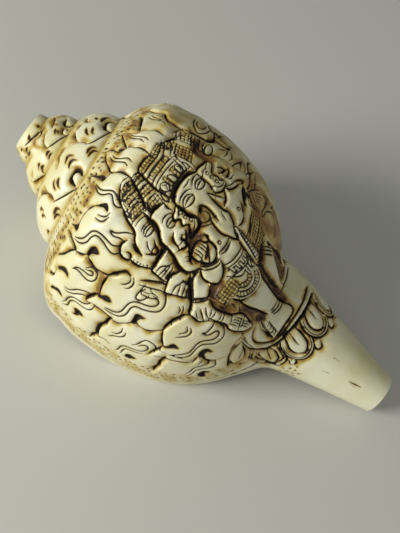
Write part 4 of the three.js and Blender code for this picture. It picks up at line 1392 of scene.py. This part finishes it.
# Edge of the lip, rounded from the outside to the inside of the wall
lip_rows = [lip_outer]
outer_radius = shell_radius(lip_column, 0.0)
inner_radius = roof_radius(lip_column, 0.0)
for i in range(1, LIP_STEPS):
    turn = math.pi * i / LIP_STEPS
    half_wall = (outer_radius - inner_radius) / 2
    radius = inner_radius + half_wall * (1 + math.cos(turn))
    swell = np.minimum(LIP_ROUND, half_wall) * math.sin(turn)
    row = add_corners(place(lip_column, -swell / outer_radius, radius))
    row[0] = lip_outer[0]
    lip_rows.append(row)
lip_rows.append(roofs[0])
for first, second in zip(lip_rows, lip_rows[1:]):
    strip(first, second)

# End of the canal, a flat C where the hollow comes out
end_outline = np.concatenate([tip_ring, [row[-1] for row in floors[1:]], [row[-1] for row in roofs[::-1]],
                              [row[-1] for row in lip_rows[-2:0:-1]]])
so_far = np.concatenate(corners)
from_axis = so_far[end_outline] - APEX_POINT
flat = [Vector((float(p @ AWAY_FROM_GROUND), float(p @ SIDEWAYS), 0)) for p in from_axis]
faces.append(end_outline[np.array(tessellate_polygon([flat]))][:, ::-1])

# Blow hole, drilled through the cut apex to make a horn of the shell, with a worn edge
HOLE_RADIUS = 4.5
HOLE_TAPER = 0.5
HOLE_DEPTH = 24
# Rings of its worn edge, by t and share of the apex's own width, then rings down the bore
EDGE_RINGS = ((0.1, 0.85), (0.25, 0.55), (0.2, 0.25), (0.45, 0.06), (1.1, 0))
BORE_RINGS = (8, 16, HOLE_DEPTH)
hole_theta = np.concatenate([[0], ring_theta])
rim_radius = shell_radius(np.zeros_like(hole_theta), hole_theta)
hole_rings = [(t, HOLE_RADIUS + (rim_radius - HOLE_RADIUS) * share) for t, share in EDGE_RINGS]
hole_rings += [(t, np.full_like(hole_theta, HOLE_RADIUS - HOLE_TAPER * t / HOLE_DEPTH)) for t in BORE_RINGS]
hole_ring = apex_ring
for t, radius in hole_rings:
    next_ring = add_corners(place(np.full_like(hole_theta, t), hole_theta, radius))
    strip(closed(next_ring), closed(hole_ring))
    hole_ring = next_ring
hole_end = add_corners(place(np.array([HOLE_DEPTH]), 0.0, np.array([0.0])))[0]
faces.append(np.stack([hole_ring, np.roll(hole_ring, -1), np.full_like(hole_ring, hole_end)], 1))

corners = np.concatenate(corners)
corners[:, 2] = np.maximum(corners[:, 2], 0)
faces = np.concatenate(faces)
whole_faces = (faces[:, 0] != faces[:, 1]) & (faces[:, 1] != faces[:, 2]) & (faces[:, 2] != faces[:, 0])
faces = faces[whole_faces]
# Where roof and floor are one line, both carry the same face and neither is needed
_, same_face, count = np.unique(np.sort(faces, axis=1), axis=0, return_inverse=True, return_counts=True)
faces = faces[count[same_face.ravel()] == 1]
used, faces = np.unique(faces, return_inverse=True)

# The finished mesh, in metres, with the stain and painted shade as two attributes of its corners
MM = 0.001
SHARP_ANGLE = math.radians(75)
mesh = bpy.data.meshes.new("conch")
mesh.from_pydata((corners[used] * MM).tolist(), [], faces.reshape(-1, 3).tolist())
inside_plain = np.zeros(len(corners) - len(outside))
for name in ("ink", "amber"):
    attribute = mesh.attributes.new(name, "FLOAT", "POINT")
    attribute.data.foreach_set("value", np.concatenate([layers[name] * whole, inside_plain])[used])
mesh.update()
mesh.shade_smooth()
mesh.set_sharp_from_angle(angle=SHARP_ANGLE)
conch = bpy.data.objects.new("conch", mesh)
bpy.context.scene.collection.objects.link(conch)


def linear(hex_colour):
    """sRGB hex colour as linear RGBA."""
    channels = [int(hex_colour[i:i + 2], 16) / 255 for i in (1, 3, 5)]
    return [c / 12.92 if c < 0.04045 else ((c + 0.055) / 1.055) ** 2.4 for c in channels] + [1]


def add_node(tree, kind, settings=None, links=None):
    """Adds a node. settings holds properties by name and input values by socket name or number,
    links the output that each input takes."""
    node = tree.nodes.new(kind)
    for key, value in (settings or {}).items():
        if isinstance(key, int) or key in node.inputs:
            node.inputs[key].default_value = value
        else:
            setattr(node, key, value)
    for key, source in (links or {}).items():
        tree.links.new(source, node.inputs[key])
    return node


# Marine shell, carved and buffed: a warm ivory like old bone, glossy on its tops. Dark stain is
# rubbed in and wiped off, so it stays black-brown in the cuts and fades to honey round them. The
# same black-brown and honey also paint shade under overlapping edges, in some hollows and on the
# far side. The patterns are sized in mm: growth clouds, blotches of stain, and the buffed surface's
# specks.
PER_METRE = 1 / MM
CLOUD_SIZE = 16
BLOTCH_SIZE = 5
SPECK_SIZE = 1.3
SPECK_HEIGHT = 0.0002
HONEY_STOPS = [(0.0, "#ffffff"), (0.3, "#dfcb8a"), (0.6, "#a98142"), (1.0, "#573412")]
shell_finish = bpy.data.materials.new("buffed_carved_shell")
shell_finish.use_nodes = True
tree = shell_finish.node_tree
tree.nodes.clear()
where = add_node(tree, "ShaderNodeTexCoord").outputs["Object"]
clouds, blotches, specks = [
    add_node(tree, "ShaderNodeTexNoise", {"Scale": PER_METRE / size, "Detail": detail}, {"Vector": where})
    for size, detail in ((CLOUD_SIZE, 3.0), (BLOTCH_SIZE, 4.0), (SPECK_SIZE, 2.0))]
ink_amount, amber_stain_and_shade = [
    add_node(tree, "ShaderNodeAttribute", {"attribute_name": name}).outputs["Fac"]
    for name in ("ink", "amber")]
# Wiping leaves the ink with a sharp edge; the painted shade in the same layer takes that edge too
ink_in_cuts = add_node(tree, "ShaderNodeMapRange",
                       {"interpolation_type": "SMOOTHSTEP", "From Min": 0.27, "From Max": 0.8},
                       {"Value": ink_amount}).outputs["Result"]
cloud_share = add_node(tree, "ShaderNodeMapRange", {"From Min": 0.35, "From Max": 0.65},
                       {"Value": clouds.outputs["Fac"]})
ivory = add_node(tree, "ShaderNodeMix", {"data_type": "RGBA", 6: linear("#f1eccf"), 7: linear("#e2d9a8")},
                 {0: cloud_share.outputs["Result"]})
blotch_share = add_node(tree, "ShaderNodeMapRange",
                        {"From Min": 0.3, "From Max": 0.7, "To Min": 0.5, "To Max": 1.5},
                        {"Value": blotches.outputs["Fac"]})
amber_share = add_node(tree, "ShaderNodeMath", {"operation": "MULTIPLY", "use_clamp": True},
                       {0: amber_stain_and_shade, 1: blotch_share.outputs["Result"]})
honey = add_node(tree, "ShaderNodeValToRGB", {}, {"Fac": amber_share.outputs["Value"]})
honey.color_ramp.elements[1].position = HONEY_STOPS[1][0]
for position, _ in HONEY_STOPS[2:]:
    honey.color_ramp.elements.new(position)
for element, (position, colour) in zip(honey.color_ramp.elements, HONEY_STOPS):
    element.position = position
    element.color = linear(colour)
washed_and_shaded = add_node(tree, "ShaderNodeMix", {"data_type": "RGBA", "blend_type": "MULTIPLY", 0: 1.0},
                  {6: ivory.outputs[2], 7: honey.outputs["Color"]})
# Black-brown for the ink in the cuts and for the painted shade beside them
inked = add_node(tree, "ShaderNodeMix", {"data_type": "RGBA", 7: linear("#24160a")},
                 {0: ink_in_cuts, 6: washed_and_shaded.outputs[2]})
matt_in_cuts = add_node(tree, "ShaderNodeMapRange", {"To Min": 0.34, "To Max": 0.8}, {"Value": ink_in_cuts})
grain = add_node(tree, "ShaderNodeBump", {"Strength": 0.12, "Distance": SPECK_HEIGHT},
                 {"Height": specks.outputs["Fac"]})
shader = add_node(tree, "ShaderNodeBsdfPrincipled", {"IOR": 1.52},
                  {"Base Color": inked.outputs[2], "Roughness": matt_in_cuts.outputs["Result"],
                   "Normal": grain.outputs["Normal"]})
add_node(tree, "ShaderNodeOutputMaterial", {}, {"Surface": shader.outputs["BSDF"]})
mesh.materials.append(shell_finish)
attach(conch, "root")
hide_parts("conch_shell")
# Studio: a pale floor of matt paper, and soft lights that stand round the camera, the main one
# high on its left.
FLOOR_SIZE = 6
reach = FLOOR_SIZE / 2
floor_mesh = bpy.data.meshes.new("floor")
floor_mesh.from_pydata([(-reach, -reach, 0), (reach, -reach, 0), (reach, reach, 0), (-reach, reach, 0)],
                       [], [(0, 1, 2, 3)])
floor = bpy.data.objects.new("floor", floor_mesh)
bpy.context.scene.collection.objects.link(floor)
floor_finish = bpy.data.materials.new("matt_paper")
floor_finish.use_nodes = True
paper = floor_finish.node_tree.nodes["Principled BSDF"].inputs
paper["Base Color"].default_value = linear("#d9d7d2")
paper["Roughness"].default_value = 0.9
floor_mesh.materials.append(floor_finish)

# The camera looks down on the carved side, as steeply as the photograph does. Its frame and focal
# length are in the photograph's pixels.
PHOTO_SIZE = (400, 533)
FOCAL_PIXELS = 950
PIXELS_PER_MM = 2.47
SENSOR = 36
CAMERA_THETA = math.radians(88)
CAMERA_LIFT = math.radians(6)
AXIS_ON_PHOTO = math.radians(36.8)
TARGET_T = 88
TARGET_PIXEL = (205.4, 264.2)
distance_mm = FOCAL_PIXELS / PIXELS_PER_MM
towards = math.cos(CAMERA_LIFT) * radial(CAMERA_THETA) - math.sin(CAMERA_LIFT) * AXIS
along = AXIS - (AXIS @ towards) * towards
along /= np.linalg.norm(along)
side = np.cross(towards, along)
right = math.cos(AXIS_ON_PHOTO) * along + math.sin(AXIS_ON_PHOTO) * side
up = -math.sin(AXIS_ON_PHOTO) * along + math.cos(AXIS_ON_PHOTO) * side
target = APEX_POINT + TARGET_T * AXIS
right_share = (TARGET_PIXEL[0] - PHOTO_SIZE[0] / 2) / FOCAL_PIXELS
up_share = (PHOTO_SIZE[1] / 2 - TARGET_PIXEL[1]) / FOCAL_PIXELS
position = target + distance_mm * (towards - right_share * right - up_share * up)
lens = bpy.data.cameras.new("camera")
lens.sensor_width = SENSOR
lens.lens = FOCAL_PIXELS / PHOTO_SIZE[1] * SENSOR
camera = bpy.data.objects.new("camera", lens)
camera_axes = np.stack([right, up, towards, position * MM], 1)
camera.matrix_world = Matrix([*camera_axes.tolist(), [0, 0, 0, 1]])
bpy.context.scene.collection.objects.link(camera)
bpy.context.scene.camera = camera


def soft_light(name, direction, size, watts, colour):
    """Square lamp that faces the shell. direction is right, up and towards the camera."""
    lamp = bpy.data.lights.new(name, "AREA")
    lamp.size = size
    lamp.energy = watts
    lamp.color = linear(colour)[:3]
    lamp_object = bpy.data.objects.new(name, lamp)
    offset = direction[0] * right + direction[1] * up + direction[2] * towards
    centre = (APEX_POINT + LENGTH / 2 * AXIS) * MM
    lamp_object.location = Vector(centre + offset)
    lamp_object.rotation_euler = Vector(offset).to_track_quat("Z", "Y").to_euler()
    bpy.context.scene.collection.objects.link(lamp_object)


soft_light("key", (-0.8, 0.1, 0.65), 0.45, 10, "#f9fbf2")
soft_light("fill", (0.5, -0.9, 0.9), 0.8, 2, "#f4f4ff")
WORLD_STRENGTH = 0.24
world = bpy.data.worlds.new("studio")
world.use_nodes = True
background = world.node_tree.nodes["Background"].inputs
background["Color"].default_value = linear("#eef0ea")
background["Strength"].default_value = WORLD_STRENGTH
bpy.context.scene.world = world
bpy.context.scene.view_settings.view_transform = "Standard"
